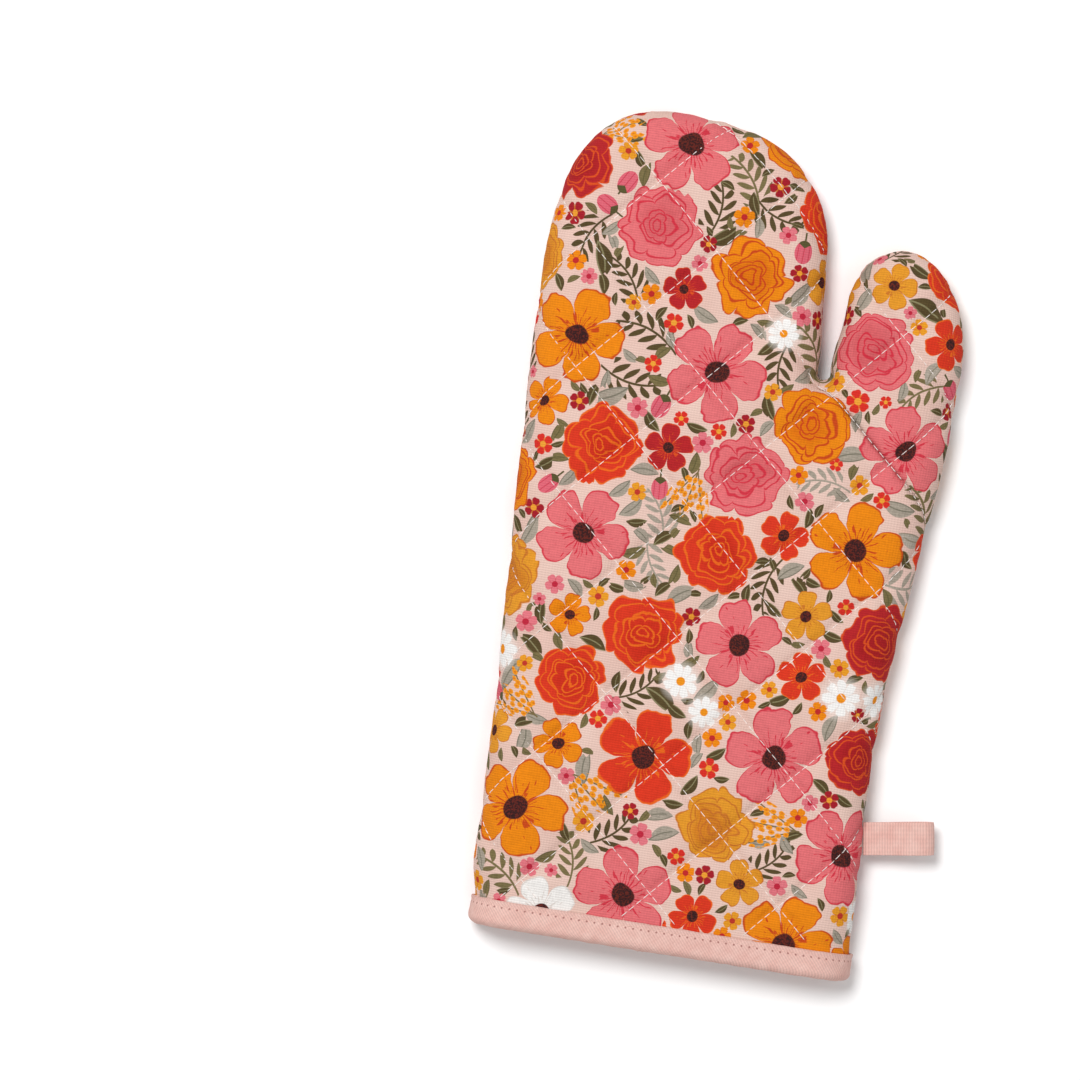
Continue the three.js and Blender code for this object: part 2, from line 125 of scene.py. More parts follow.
LOOP_NODE = "hanging_loop"
LOOP_TILT = math.radians(9)  # the loop leans with the side seam
LOOP_WIDTH, LOOP_REACH, LOOP_NOSE = 12.7, 24.9, 3.6
LOOP_PLY, TAIL_PLY = 1.0, 0.9
PLY_GAP, TAIL_GAP = 0.72, 0.52  # each ply's height over the seam, outside and inside it
LOOP_ROOT = np.array([2.2, 0.1])  # the loop runs on this far into the seam
TAIL_START, TAIL_END = -2.4, -10.6
RIB_GAP, RIB_DEPTH = 1.6, 0.07

TINTS = 8  # steps of a motif's tint
PRINT_MARGIN = 1.5  # a motif is carried this far past its own reach
BACK_PRINT_TOP = 330.0  # the back's print runs the other way, from here
NOISE_SEED, PRINT_SEED, BINDING_SEED = 7, 21, 3

FLOOR_HALF = 4000.0
CAMERA_LENS, CAMERA_SENSOR, CAMERA_END = 190.0, 36.0, 30.0  # the last in metres
CAMERA_TURN = math.radians(9)
VIEW_WIDTH, VIEW_LEVEL = 0.4154, 0.012  # metres that the picture spans, at this height
VIEW_MIDDLE = (-69.6, 149.4, 12)
# each light's place from the middle of the view, its size, both in metres, and its power in watts
KEY_LIGHT = ("key", (-0.46, 0.54, 1.85), 0.75, 29)
FILL_LIGHT = ("fill", (0.7, -0.3, 1.9), 1.4, 5)
WORLD_LIGHT = 0.4


def to_frame(points):
    """Mitt millimetres to the frame's metres."""
    return (np.asarray(points) + MOUTH) / 1000.0


# ---------------------------------------------------------------- outline


def bezier(a, b, c, d, count=60):
    """Points of a cubic curve: the four corners blended by the cubic Bernstein weights."""
    t = np.linspace(0, 1, count)[:, None]
    return (1 - t) ** 3 * a + 3 * (1 - t) ** 2 * t * b + 3 * (1 - t) * t**2 * c + t**3 * d


def flowing(start, end, handles=None):
    """A side that leaves and arrives upright, its handles at these heights, or at thirds of the way."""
    third = (end[1] - start[1]) / 3
    first, last = handles or (start[1] + third, end[1] - third)
    return bezier(start, np.array([start[0], first]), np.array([end[0], last]), end)


def rounded(start, end, share, upright):
    """A corner that leaves upright and arrives level, or the other way round, its handles reaching this
    share of the way."""
    level, rise = (end - start) * share * np.eye(2)
    first, last = (rise, level) if upright else (level, rise)
    return bezier(start, start + first, end - last, end)


def sewn_edge():
    """The sewn edge from the mouth's outer corner round to its inner corner: sides that flow from
    upright to upright, a rounded corner each side of each tip, and a half circle in the crotch."""
    point = lambda x, y: np.array([x, y], float)
    fingertip, thumb_tip = point(FINGERS_LEFT + 46, LENGTH), point(THUMB_LEFT + 18.8, THUMB_END)
    outer, inner = point(FINGERS_LEFT, LENGTH - 64), point(FINGERS_RIGHT, LENGTH - 58)
    thumb_in, thumb_out = point(THUMB_LEFT, THUMB_END - 23), point(THUMB_RIGHT, THUMB_END - 45.1)
    cuff_left, cuff_right = point(-CUFF_HALF - 2.4, CLEAR_Y), point(CUFF_HALF - 1.7, CLEAR_Y)
    crotch_x, crotch_y = CROTCH + [0, CROTCH_RADIUS]
    turn = np.linspace(math.pi, 2 * math.pi, 40)
    crotch = np.stack([crotch_x + CROTCH_RADIUS * np.cos(turn), crotch_y + CROTCH_RADIUS * np.sin(turn)], 1)
    sides = [
        flowing(cuff_left, outer),
        rounded(outer, fingertip, 0.72, True),
        rounded(fingertip, inner, 0.66, False),
        flowing(inner, point(crotch_x - CROTCH_RADIUS, crotch_y), (246, 246)),
        crotch,
        flowing(point(crotch_x + CROTCH_RADIUS, crotch_y), thumb_in, (243, 243)),
        rounded(thumb_in, thumb_tip, 0.58, True),
        rounded(thumb_tip, thumb_out, 0.58, False),
        flowing(thumb_out, WRIST),
        flowing(WRIST, cuff_right, (57.4, 57.4)),
    ]
    y = np.linspace(LAYER_START, CLEAR_Y, 50)
    rise = np.clip((y - BINDING_DEPTH + 3) / (CLEAR_Y - BINDING_DEPTH + 3), 0, 1)
    rise = rise**2 * (3 - 2 * rise)
    start = np.stack([-CUFF_HALF - 2.4 * rise, y], 1)
    end = np.stack([CUFF_HALF - 1.7 * rise, y], 1)[::-1]
    path = np.concatenate([start, *sides, end])
    keep = np.r_[True, np.linalg.norm(np.diff(path, axis=0), axis=1) > 1e-3]
    return path[keep]


def along(path):
    """Distance along a path at each of its points."""
    return np.r_[0, np.cumsum(np.linalg.norm(np.diff(path, axis=0), axis=1))]


def spaced_edge(step, roll):
    """The sewn edge with even steps, closer where the edge curves out so that its inner offset stays
    even too: the step is divided by one plus the roll times the curvature."""
    path = sewn_edge()
    tangent = np.gradient(path, along(path), axis=0)
    tangent /= np.linalg.norm(tangent, axis=1)[:, None]
    heading = np.unwrap(np.arctan2(tangent[:, 1], tangent[:, 0]))
    bend = np.gradient(heading, along(path))
    stretch = np.maximum(1, 1 + roll * bend)
    reach = np.r_[0, np.cumsum(np.diff(along(path)) * (stretch[1:] + stretch[:-1]) / 2)]
    at = np.linspace(0, reach[-1], int(reach[-1] / step))
    spot = np.stack([np.interp(at, reach, path[:, i]) for i in (0, 1)], 1)
    facing = np.stack([np.interp(at, reach, tangent[:, i]) for i in (0, 1)], 1)
    facing /= np.linalg.norm(facing, axis=1)[:, None]
    return spot, np.stack([facing[:, 1], -facing[:, 0]], 1)


# ---------------------------------------------------------------- layers


class Plan:
    """A mesh plan over the outline, shared by every layer of one side.

    The rolled edge is a set of rings, from the seam in, and the middle is a square grid that lies along
    the quilting, so that its lines fall on rows of points."""

    def __init__(self, sign, cells, spacing, rings=12):
        self.sign, self.spacing = sign, spacing
        self.roll, self.rise = (FRONT_ROLL, FRONT_RISE) if sign > 0 else (BACK_ROLL, BACK_RISE)
        step = spacing / cells
        spot, inward = spaced_edge(step, self.roll)
        count = len(spot)
        lift = (np.arange(rings + 1) / rings) ** RING_CROWDING * math.pi / 2
        self.ring_share, self.ring_height = 1 - np.cos(lift), np.sin(lift)
        k = np.arange(rings * count).reshape(rings, count)
        quads = np.stack([k[:, :-1], k[:, :-1] + count, k[:, 1:] + count, k[:, 1:]], -1).reshape(-1, 4)
        middle, triangles = self.fill(spot + inward * self.roll, step, rings * count)
        self.quads, self.triangles = (f if sign > 0 else f[:, ::-1] for f in (quads, triangles))
        pad = len(middle)
        self.repeat = lambda ring_value, flat: np.r_[np.repeat(ring_value, count), np.full(pad, flat)]
        self.share, self.height = self.repeat(self.ring_share, 1.0), self.repeat(self.ring_height, 1.0)
        self.lift = self.repeat(lift, math.pi / 2)
        self.edge = np.concatenate([np.tile(spot, (rings + 1, 1)), middle])
        self.inward = np.concatenate([np.tile(inward, (rings + 1, 1)), np.zeros((pad, 2))])

    def fill(self, rim, step, first):
        """The level middle, inside the last ring, whose points are numbered from the first given: the
        grid's points, and Delaunay triangles that join them to each other and to the ring."""
        bottom = np.linspace(rim[-1], rim[0], int(np.linalg.norm(rim[-1] - rim[0]) / step))[1:-1]
        loop = np.concatenate([rim, bottom])
        verts = [Vector(p) for p in np.concatenate([loop, self.grid(loop, step)])]
        found = delaunay_2d_cdt(verts, [], [list(range(len(loop)))], 1, 1e-5, True)
        places = np.array([list(p) for p in found[0]])
        source = np.array([ids[0] if ids else -1 for ids in found[3]])
        on_rim = (source >= 0) & (source < len(rim))
        index = np.empty(len(places), int)
        index[on_rim] = source[on_rim] + first
        index[~on_rim] = np.arange((~on_rim).sum()) + first + len(rim)
        corners = np.array(found[2])
        corners = corners[signed_distance(places[corners].mean(1), loop) > 0]
        a, b, c = (places[corners[:, i]] for i in range(3))
        flip = np.cross(b - a, c - a) < 0
        triangles = index[corners]
        triangles[flip] = triangles[flip][:, ::-1]
        return places[~on_rim], triangles

    def unrolled(self, depth):
        """A layer at this depth laid out flat: the level middle stays, and the arc of the roll is laid
        down outwards from it."""
        arc = np.cumsum(np.r_[0, np.hypot(np.diff(self.ring_share) * (self.roll - depth),
                                          np.diff(self.ring_height) * (self.rise - depth))])
        inset = self.repeat(self.roll - (arc[-1] - arc), 0.0)
        return self.edge + self.inward * inset[:, None]

    def grid(self, loop, step):
        """The square grid's points that lie inside the loop, a little way from it."""
        across, down = quilt_directions()
        reach = np.arange(-int(380 / step), int(380 / step) + 1) * step
        a, b = np.meshgrid(reach, reach)
        points = QUILT_ORIGIN + a.reshape(-1, 1) * across + b.reshape(-1, 1) * down
        low, high = loop.min(0), loop.max(0)
        points = points[((points > low) & (points < high)).all(1)]
        return points[signed_distance(points, loop) > GRID_MARGIN * step]

    def normal(self):
        """The dish's outward direction at each point, from the roll's own angle."""
        out = -self.inward * np.cos(self.lift)[:, None]
        return np.concatenate([out, self.sign * np.sin(self.lift)[:, None]], 1)

    def surface(self, depth):
        """The dish at this depth below the outside. A quarter ellipse rises from the seam, drawn in
        at its foot where the cloth turns into the seam, and the middle is level."""
        crease = CREASE_DEPTH * np.exp(-self.height * self.rise / CREASE_REACH) * (self.share < 1)
        inset = depth + self.share * (self.roll - depth) + crease
        pinch = BACK_PINCH * np.clip((CLEAR_Y - self.edge[:, 1]) / PINCH_REACH, 0, 1) * (self.sign < 0)
        rise = (self.rise - pinch - depth) * self.height
        plan = self.edge + self.inward * inset[:, None]
        return np.column_stack([plan, SEAM_Z + self.sign * (SEAM_GAP + rise)])

    def line_distance(self):
        """How far each point is, over the cloth, from the nearest line of quilting."""
        place = quilt_coordinates(self.unrolled(0.0))
        return np.abs(place - np.round(place / self.spacing) * self.spacing).min(-1)

    def grip(self):
        """How strongly the quilting shows: not under the binding, and less at the seam."""
        above = np.clip((self.edge[:, 1] - GRIP_START) / GRIP_RAMP, 0, 1)
        return above**2 * (3 - 2 * above) * (SEAM_GRIP + (1 - SEAM_GRIP) * np.sin(self.lift))


def signed_distance(points, loop):
    """Distance of points to a closed loop, positive inside: the nearest segment's distance, signed by
    the count of crossings to one side."""
    a, b = loop, np.roll(loop, -1, 0)
    nearest = np.full(len(points), 1e9)
    crossings = np.zeros(len(points), int)
    for start in range(0, len(points), 4000):
        p = points[start : start + 4000, None]
        along_it = np.clip(((p - a) * (b - a)).sum(-1) / ((b - a) ** 2).sum(-1), 0, 1)
        gap = np.linalg.norm(p - (a + along_it[..., None] * (b - a)), axis=-1)
        nearest[start : start + 4000] = gap.min(1)
        x, y = p[..., 0], p[..., 1]
        spans = (a[:, 1] > y) != (b[:, 1] > y)
        with np.errstate(divide="ignore", invalid="ignore"):
            cut = a[:, 0] + (y - a[:, 1]) * (b[:, 0] - a[:, 0]) / (b[:, 1] - a[:, 1])
        crossings[start : start + 4000] = (spans & (x < cut)).sum(1)
    return np.where(crossings % 2, nearest, -nearest)


def quilt_directions():
    """The unit vectors along the quilting's two sets of lines."""
    across = np.array([math.cos(QUILT_TURN), math.sin(QUILT_TURN)])
    return across, np.array([across[1], -across[0]])


def quilt_coordinates(points):
    """Distances along the quilting's two directions."""
    return (points - QUILT_ORIGIN) @ np.stack(quilt_directions(), 1)


def ripple(points, wavelength, seed, waves=14):
    """Smooth noise from -1 to 1: the mean of plane sine waves in random directions."""
    draw = np.random.default_rng(seed)
    turn = draw.uniform(0, 2 * math.pi, waves)
    size = 2 * math.pi / (wavelength * draw.uniform(0.7, 1.4, waves))
    phase = draw.uniform(0, 2 * math.pi, waves)
    heading = np.stack([np.cos(turn), np.sin(turn)]) * size
    return np.sin(points @ heading + phase).sum(1) / math.sqrt(waves) / 1.4


def quilted(plan, depth, groove, puff, pucker=0.0, seed=NOISE_SEED):
    """A layer's points: the dish, pushed out by a puff between the lines and in by a groove along them.
    Puckers are short waves that cross the lines and die away from them. The back's puffs are pressed
    flat by the table."""
    gap, flat = plan.line_distance(), plan.unrolled(0.0)
    level = puff * (1 - np.exp(-gap / PUFF_REACH)) - groove * np.exp(-gap / GROOVE_REACH)
    waves = ripple(flat, PUCKER_WAVE, seed) * np.exp(-gap / PUCKER_REACH) * pucker
    seam = ripple(flat, SEAM_WAVE, seed + 1) * np.exp(-plan.height * plan.rise / SEAM_REACH)
    broad = ripple(flat, BROAD_WAVE, seed + 2) * BROAD_SHARE * puff
    if plan.sign < 0:
        level = level - BACK_PRESS * puff
    out = (level + waves + broad) * plan.grip()
    out += seam * SEAM_PUCKER * pucker * (plan.edge[:, 1] > SEAM_PUCKER_START)
    points = plan.surface(depth) + plan.normal() * out[:, None]
    points[:, 2] = np.maximum(points[:, 2], TABLE_GAP + depth)
    return points


# ---------------------------------------------------------------- meshes


def new_mesh(name, points, faces):
    """An object at the origin from mitt points in millimetres."""
    mesh = bpy.data.meshes.new(name)
    mesh.from_pydata(to_frame(points).tolist(), [], faces if isinstance(faces, list) else faces.tolist())
    mesh.validate()
    mesh.update()
    mesh.polygons.foreach_set("use_smooth", np.ones(len(mesh.polygons), bool))
    made = bpy.data.objects.new(name, mesh)
    bpy.context.scene.collection.objects.link(made)
    return made


def on_thumb(places, flat, spacing):
    """True to the thumb's side of the crotch, seen from above, and past the line of quilting, in the
    flat cloth, that runs from the crotch to the side seam."""
    line = np.round(quilt_coordinates(CROTCH)[0] / spacing) * spacing
    return (places[:, 0] > CROTCH[0] - 1) & (quilt_coordinates(flat)[:, 0] > line)


def split(plan, thumb):
    """The points that a plan's thumb uses, or the rest of it, and its quads and triangles."""
    flat, places = plan.unrolled(0.0), plan.surface(0.0)
    blocks = [f[on_thumb(places[f].mean(1), flat[f].mean(1), plan.spacing) == thumb]
              for f in (plan.quads, plan.triangles)]
    used = np.unique(np.concatenate([block.ravel() for block in blocks]))
    renumber = np.full(len(flat), -1)
    renumber[used] = np.arange(len(used))
    return used, [renumber[block] for block in blocks]


def as_lists(blocks):
    """Blocks of faces as one list."""
    return [face for block in blocks for face in block.tolist()]


def hold(obj, thumb):
    """Bakes a piece's place into its mesh, the same for the thumb's piece as for the rest."""
    if thumb:
        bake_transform(obj)
    else:
        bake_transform(obj)


def give(obj, material):
    """Puts a material on a piece."""
    obj.data.materials.append(material)


def set_corners(obj, name, values, kind="FLOAT_VECTOR"):
    """Stores one value per face corner."""
    layer = obj.data.attributes.new(name, kind, "CORNER")
    layer.data.foreach_set("vector", np.asarray(values, np.float32).ravel())


def set_cloth_map(obj, flat):
    """A UV map that is the flat cloth itself, one unit to 100 mm."""
    corners = np.empty(len(obj.data.loops), int)
    obj.data.loops.foreach_get("vertex_index", corners)
    layer = obj.data.uv_layers.new(name="cloth")
    layer.data.foreach_set("uv", (flat[corners] / 100).astype(np.float32).ravel())


def corner_numbers(obj):
    """For each face corner, its point and its face."""
    points = np.empty(len(obj.data.loops), int)
    obj.data.loops.foreach_get("vertex_index", points)
    totals = np.empty(len(obj.data.polygons), int)
    obj.data.polygons.foreach_get("loop_total", totals)
    return points, np.repeat(np.arange(len(totals)), totals)


def thicken(obj, thickness):
    """Gives cloth its thickness, inwards from the side that shows."""
    modifier = obj.modifiers.new("thickness", "SOLIDIFY")
    modifier.thickness = thickness / 1000
    modifier.offset = -1
    modifier.use_even_offset = False


def tubes(paths, radius, sides=6):
    """Short lengths of thread: a ring of points round each point of each path, smaller at both ends.
    Each ring is the path's point plus the radius times the cosine along its side and the sine up."""
    paths = np.asarray(paths, float)
    many, steps, _ = paths.shape
    tangent = np.gradient(paths, axis=1)
    tangent /= np.linalg.norm(tangent, axis=2)[..., None]
    side = np.cross(tangent, [0, 0, 1.0])
    side /= np.maximum(np.linalg.norm(side, axis=2)[..., None], 1e-9)
    up = np.cross(side, tangent)
    turn = np.arange(sides) / sides * 2 * math.pi
    taper = np.ones(steps)
    taper[[0, -1]] = 0.45
    ring = side[:, :, None] * np.cos(turn)[:, None] + up[:, :, None] * np.sin(turn)[:, None]
    points = paths[:, :, None] + ring * (radius * taper)[:, None, None]
    k = np.arange(many * steps * sides).reshape(many, steps, sides)
    nxt = np.roll(k, -1, 2)
    quads = np.stack([k[:, :-1], nxt[:, :-1], nxt[:, 1:], k[:, 1:]], -1).reshape(-1, 4)
    caps = np.concatenate([k[:, 0, ::-1], k[:, -1]])
    return points.reshape(-1, 3), [*quads.tolist(), *caps.tolist()]


# ---------------------------------------------------------------- print layout


def motifs(seed=PRINT_SEED):
    """Where each flower, leaf and berry spray of the print lies: circles dropped in turn, largest first,
    each kept only where it is clear of those already down."""
    draw = np.random.default_rng(seed)
    low, high = np.array([-112.0, -22.0]), np.array([112.0, 352.0])
    # layer, kind, tints, radius range, share of its own size kept clear, how many tries
    recipe = [
        ("blossoms", 1, (2, 0, 2, 1), (17.5, 20.0), 0.96, 40),
        ("blossoms", 2, (3, 1, 3, 2, 4, 0, 1), (13.8, 16.2), 1.0, 1100),
        ("blossoms", 1, (5,), (14.0, 15.5), 0.92, 50),
        ("blossoms", 1, (0, 4, 3, 1), (8.5, 10.5), 0.94, 520),
        ("posies", 1, (5,), (6.2, 8.0), 0.85, 130),
        ("leaves", 1, (0, 1, 0, 2), (11.0, 14.5), 0.5, 1700),
        ("berries", 1, (0, 0, 1), (10.0, 12.5), 0.55, 900),
        ("posies", 3, (2, 4), (5.2, 6.2), 0.8, 260),
        ("posies", 2, (1, 2, 0, 4, 3), (3.9, 4.9), 0.9, 4200),
        ("posies", 1, (5,), (6.0, 7.4), 0.74, 420),
        ("berries", 1, (2,), (8.0, 10.0), 0.55, 300),
        ("leaflets", 2, (1, 1, 3, 1, 0), (6.0, 8.8), 0.46, 4000),
        ("posies", 2, (1, 2, 0, 4, 3), (3.4, 4.4), 0.86, 9000),
        ("leaflets", 2, (0, 0, 2, 1), (4.2, 6.0), 0.46, 16000),
        ("posies", 2, (1, 2, 3, 4), (2.6, 3.4), 0.9, 9000),
        ("leaflets", 2, (0, 0, 2), (2.8, 3.8), 0.52, 16000),
    ]
    centres, sizes, rows = np.empty((0, 2)), np.empty(0), []
    for layer, kind, tints, (small, large), clear, tries in recipe:
        spots = draw.uniform(low, high, (tries, 2))
        radii = draw.uniform(small, large, tries)
        turns = draw.uniform(0, 2 * math.pi, tries)
        picks = draw.integers(0, len(tints), tries)
        for spot, radius, turn, pick in zip(spots, radii, turns, picks):
            if (np.linalg.norm(centres - spot, axis=1) < sizes + radius * clear).any():
                continue
            centres, sizes = np.vstack([centres, spot]), np.append(sizes, radius * clear)
            rows.append((layer, kind, tints[pick], *spot, radius, turn))
    return rows


REACH = {"leaves": 1.03, "leaflets": 1.03, "berries": 1.15, "posies": 1.35, "blossoms": 1.15}


def lay_print(obj, flat, rows):
    """Gives each face corner its place inside the motif that covers its face, one attribute per layer:
    x and y in the motif's own radii, and its kind plus its tint as eighths."""
    points, faces = corner_numbers(obj)
    places = flat[points]
    count = np.bincount(faces)
    middle = np.stack([np.bincount(faces, places[:, i]) / count for i in (0, 1)], 1)
    for layer, reach in REACH.items():
        rows_here = [row for row in rows if row[0] == layer]
        kind, tint, x, y, radius, turn = (np.array(v, float) for v in list(zip(*rows_here))[1:])
        centre = np.stack([x, y], 1)
        best = np.empty(len(middle), int)
        near = np.empty(len(middle))
        for start in range(0, len(middle), 3000):
            part = slice(start, start + 3000)
            gap = np.linalg.norm(middle[part, None] - centre, axis=-1) / radius
            best[part], near[part] = gap.argmin(1), gap.min(1)
        mine = best[faces]
        offset = (places - centre[mine]) / radius[mine, None]
        c, s = np.cos(turn[mine]), np.sin(turn[mine])
        right, up = offset.T
        local = np.stack([right * c + up * s, up * c - right * s], 1)
        close = near[faces] < reach + PRINT_MARGIN / radius[mine]
        code = np.where(close, kind[mine] + (tint[mine] + 0.5) / TINTS, 0)
        set_corners(obj, layer, np.column_stack([local, code]))


# ---------------------------------------------------------------- materials

# sizes of each texture's grain in the real cloth and ink, in millimetres
PEN_WOBBLE = 5.3  # how far a drawn outline runs between its waves
HAND_DRIFT = 8.7  # the looser drift of the roses' petals
INK_GRAIN = 1.4
LEAF_GRAIN = 1.1
EYE_SPECK = 0.67
GROUND_MOTTLE = 16.7
TAPE_MOTTLE = 4.5
WADDING_TUFT = 2.0
LINING_SLUB = 0.7
THREAD_TWIST = 0.4
PAPER_TONE = 330.0
RIB_PITCH, WARP_PITCH = 0.91, 1.11  # the cotton's ribs, really 0.65, drawn coarser so that they show
TWILL_PITCH, TWILL_CROSS = 0.95, 1.43  # the binding's, really 0.6, drawn coarser so that they show
GROSGRAIN_PITCH, GROSGRAIN_CROSS = 1.05, 1.67  # the loop's, really 0.6, drawn coarser too
TWILL_SLANT = math.radians(40)
HOLE_SHADE_CORE, HOLE_SHADE_EDGE = 0.3, 0.5  # the painted shade of a needle hole: its radius where it is darkest and where it ends
COTTON_RELIEF, TAPE_RELIEF, FIBRE_RELIEF, THREAD_RELIEF = 0.12, 0.18, 0.3, 0.1


def linear(hex_colour):
    """An sRGB hex colour as linear RGBA."""
    parts = [int(hex_colour[i : i + 2], 16) / 255 for i in (1, 3, 5)]
    return (*(v / 12.92 if v <= 0.04045 else ((v + 0.055) / 1.055) ** 2.4 for v in parts), 1.0)


def add(tree, kind, *inputs, at=None, out=0, **settings):
    """Adds a shader node, named by its kind and, after a space, its operation, with its settings. Its
    inputs are links or plain values, in order or as a dict of sockets. Gives one output, or all."""
    kind, _, operation = kind.partition(" ")
    made = tree.nodes.new(kind if kind.startswith("Node") else "ShaderNode" + kind)
    if operation:
        made.operation = operation
    for name, value in settings.items():
        setattr(made, name, value)
    for key, value in (dict(enumerate(inputs)) | (at or {})).items():
        if isinstance(value, bpy.types.NodeSocket):
            tree.links.new(value, made.inputs[key])
        elif value is not None:
            made.inputs[key].default_value = value
    return made.outputs if out is None else made.outputs[out]


def new_material(name):
    """An empty material, its tree, and the function that adds nodes to that tree."""
    made = bpy.data.materials.new(name)
    made.use_nodes = True
    made.node_tree.nodes.clear()
    return made, made.node_tree, partial(add, made.node_tree)


def overlap(tree, *parts):
    """The drawn area where every part holds, as the product of them all. A part is a mask, or a value
    with the two places between which it fades in."""
    masks = [add(tree, "MapRange", *part) if isinstance(part, tuple) else part for part in parts]
    return reduce(partial(add, tree, "Math MULTIPLY"), masks)


def paint(tree, colour, mask, ink, strength=1.0):
    """Lays an ink over the colour where the mask is, as strongly as given. The ink is linear, or hex."""
    if strength < 1:
        mask = add(tree, "Math MULTIPLY", mask, strength)
    ink = linear(ink) if isinstance(ink, str) else ink
    return add(tree, "Mix", at={0: mask, 6: colour, 7: ink}, out=2, data_type="RGBA")


def palette(tree, tint, inks):
    """The ink for a motif's tint: flat steps of a ramp, one for each ink, linear or hex."""
    picked = add(tree, "ValToRGB", tint)
    ramp = picked.node.color_ramp
    ramp.interpolation = "CONSTANT"
    while len(ramp.elements) < len(inks):
        ramp.elements.new(0.5)
    for i, ink in enumerate(inks):
        ramp.elements[i].position = i / TINTS
        ramp.elements[i].color = linear(ink) if isinstance(ink, str) else ink
    return picked


def petal_group():
    """Petals round a centre. The edge's radius is a waist plus a round bump for each petal, roughened
    by a drawn line's wobble. Gives how far inside the edge a point is, its distance from the centre,
    how far it is across its petal, from 0 in the middle to 1 at the side, and its angle."""
    tree = bpy.data.node_groups.new("petals", "ShaderNodeTree")
    node = partial(add, tree)
    for name, kind in (("Place", "Vector"), ("Count", "Float"), ("Turn", "Float"), ("Waist", "Float"),
                       ("Size", "Float"), ("Wobble", "Float")):
        tree.interface.new_socket(name, in_out="INPUT", socket_type="NodeSocket" + kind)
    for name in ("Inside", "Radius", "Across", "Angle"):
        tree.interface.new_socket(name, in_out="OUTPUT", socket_type="NodeSocketFloat")
    place, count, turn, waist, size, wobble_share, _ = node("NodeGroupInput", out=None)
    flat = node("VectorMath MULTIPLY", place, (1, 1, 0))
    radius = node("VectorMath LENGTH", flat, out="Value")
    x, y, _ = node("SeparateXYZ", flat, out=None)
    noise = node("TexNoise", node("TexCoord", out="Object"), None, 1000 / PEN_WOBBLE, 1.0, 0.5)
    wobble = node("Math MULTIPLY", node("Math SUBTRACT", noise, 0.5), wobble_share)
    angle = node("Math MULTIPLY_ADD", wobble, 1.2, node("Math ADD", node("Math ARCTAN2", y, x), turn))
    cell = node("Math MULTIPLY_ADD", node("Math MULTIPLY", angle, count), 1 / (2 * math.pi), 20.0)
    across = node("Math ABSOLUTE", node("Math MULTIPLY_ADD", node("Math FRACT", cell), 2.0, -1.0))
    bump = node("Math SUBTRACT", 1.0, node("Math POWER", across, 2.6))
    bump = node("Math POWER", bump, 0.5)
    edge = node("Math MULTIPLY_ADD", bump, node("Math SUBTRACT", 1.0, waist), waist)
    edge = node("Math ADD", edge, node("MapRange", across, 0.0, 0.35, -0.05, 0.0))
    edge = node("Math MULTIPLY", node("Math ADD", edge, wobble), size)
    node("NodeGroupOutput", node("Math SUBTRACT", edge, radius), radius, across, angle, out=None)
    return tree


def motif_place(tree, layer, *numbers):
    """A print layer's place in its motif's own radii, its two parts, its tint, and a mask for each of
    these kinds of motif."""
    node = partial(add, tree)
    place = node("Attribute", attribute_name=layer, out="Vector")
    x, y, code = node("SeparateXYZ", place, out=None)
    kind = node("Math FLOOR", code)
    return place, x, y, node("Math FRACT", code), *(
        node("Math COMPARE", kind, float(number), 0.5) for number in numbers)


def grained(tree, ink, size, low, high):
    """The cloth showing through an ink: a fine, uneven lightening and darkening, its grain in mm."""
    node = partial(add, tree)
    grain = node("TexNoise", node("TexCoord", out="Object"), None, 1000 / size, 2.0, 0.6)
    return node("VectorMath MULTIPLY", ink, node("MapRange", grain, 0.3, 0.7, low, high))


def leaf_ink(tree, tint, greens):
    """A leaf's green for its tint, uneven as ink on cotton is."""
    return grained(tree, palette(tree, tint, greens), LEAF_GRAIN, 0.86, 1.12)


def draw_sprigs(tree, colour, greens):
    """Sprigs of paired leaflets on a thin curved stem. A leaflet lies along a slanted row, and its half
    width is a skewed parabola along its length."""
    node = partial(add, tree)
    _, x, y, tint, is_sprig = motif_place(tree, "leaves", 1)
    curve = node("Math MULTIPLY_ADD", node("Math MULTIPLY", x, x), 0.28, -0.1)
    lift = node("Math SUBTRACT", y, curve)
    side, away = node("Math SIGN", lift), node("Math ABSOLUTE", lift)
    # how far along the stem the point's slanted row starts, in leaflets
    row = node("Math MULTIPLY_ADD", away, -0.62, x)
    row = node("Math MULTIPLY_ADD", node("Math MULTIPLY", away, away), -0.5, row)
    row = node("Math MULTIPLY_ADD", side, 0.09, row)
    row = node("Math FRACT", node("Math MULTIPLY_ADD", row, 1 / 0.36, 40.0))
    row = node("Math ABSOLUTE", node("Math ADD", row, -0.5))
    share = node("Math DIVIDE", away, node("MapRange", x, -0.9, 1.0, 0.66, 0.3), use_clamp=True)
    width = node("Math POWER", node("Math SUBTRACT", 1.0, share), 0.8)
    width = node("Math MULTIPLY", node("Math MULTIPLY", width, share), 1.15)
    leaflet = overlap(tree, (node("Math SUBTRACT", width, row), 0.0, 0.05),
                      (x, -0.66, -0.64), (x, 0.88, 0.86))
    stem = overlap(tree, (away, 0.042, 0.026), (x, -0.99, -0.97), (x, 0.94, 0.92))
    sprig = overlap(tree, node("Math MAXIMUM", leaflet, stem), is_sprig)
    return paint(tree, colour, sprig, leaf_ink(tree, tint, greens))


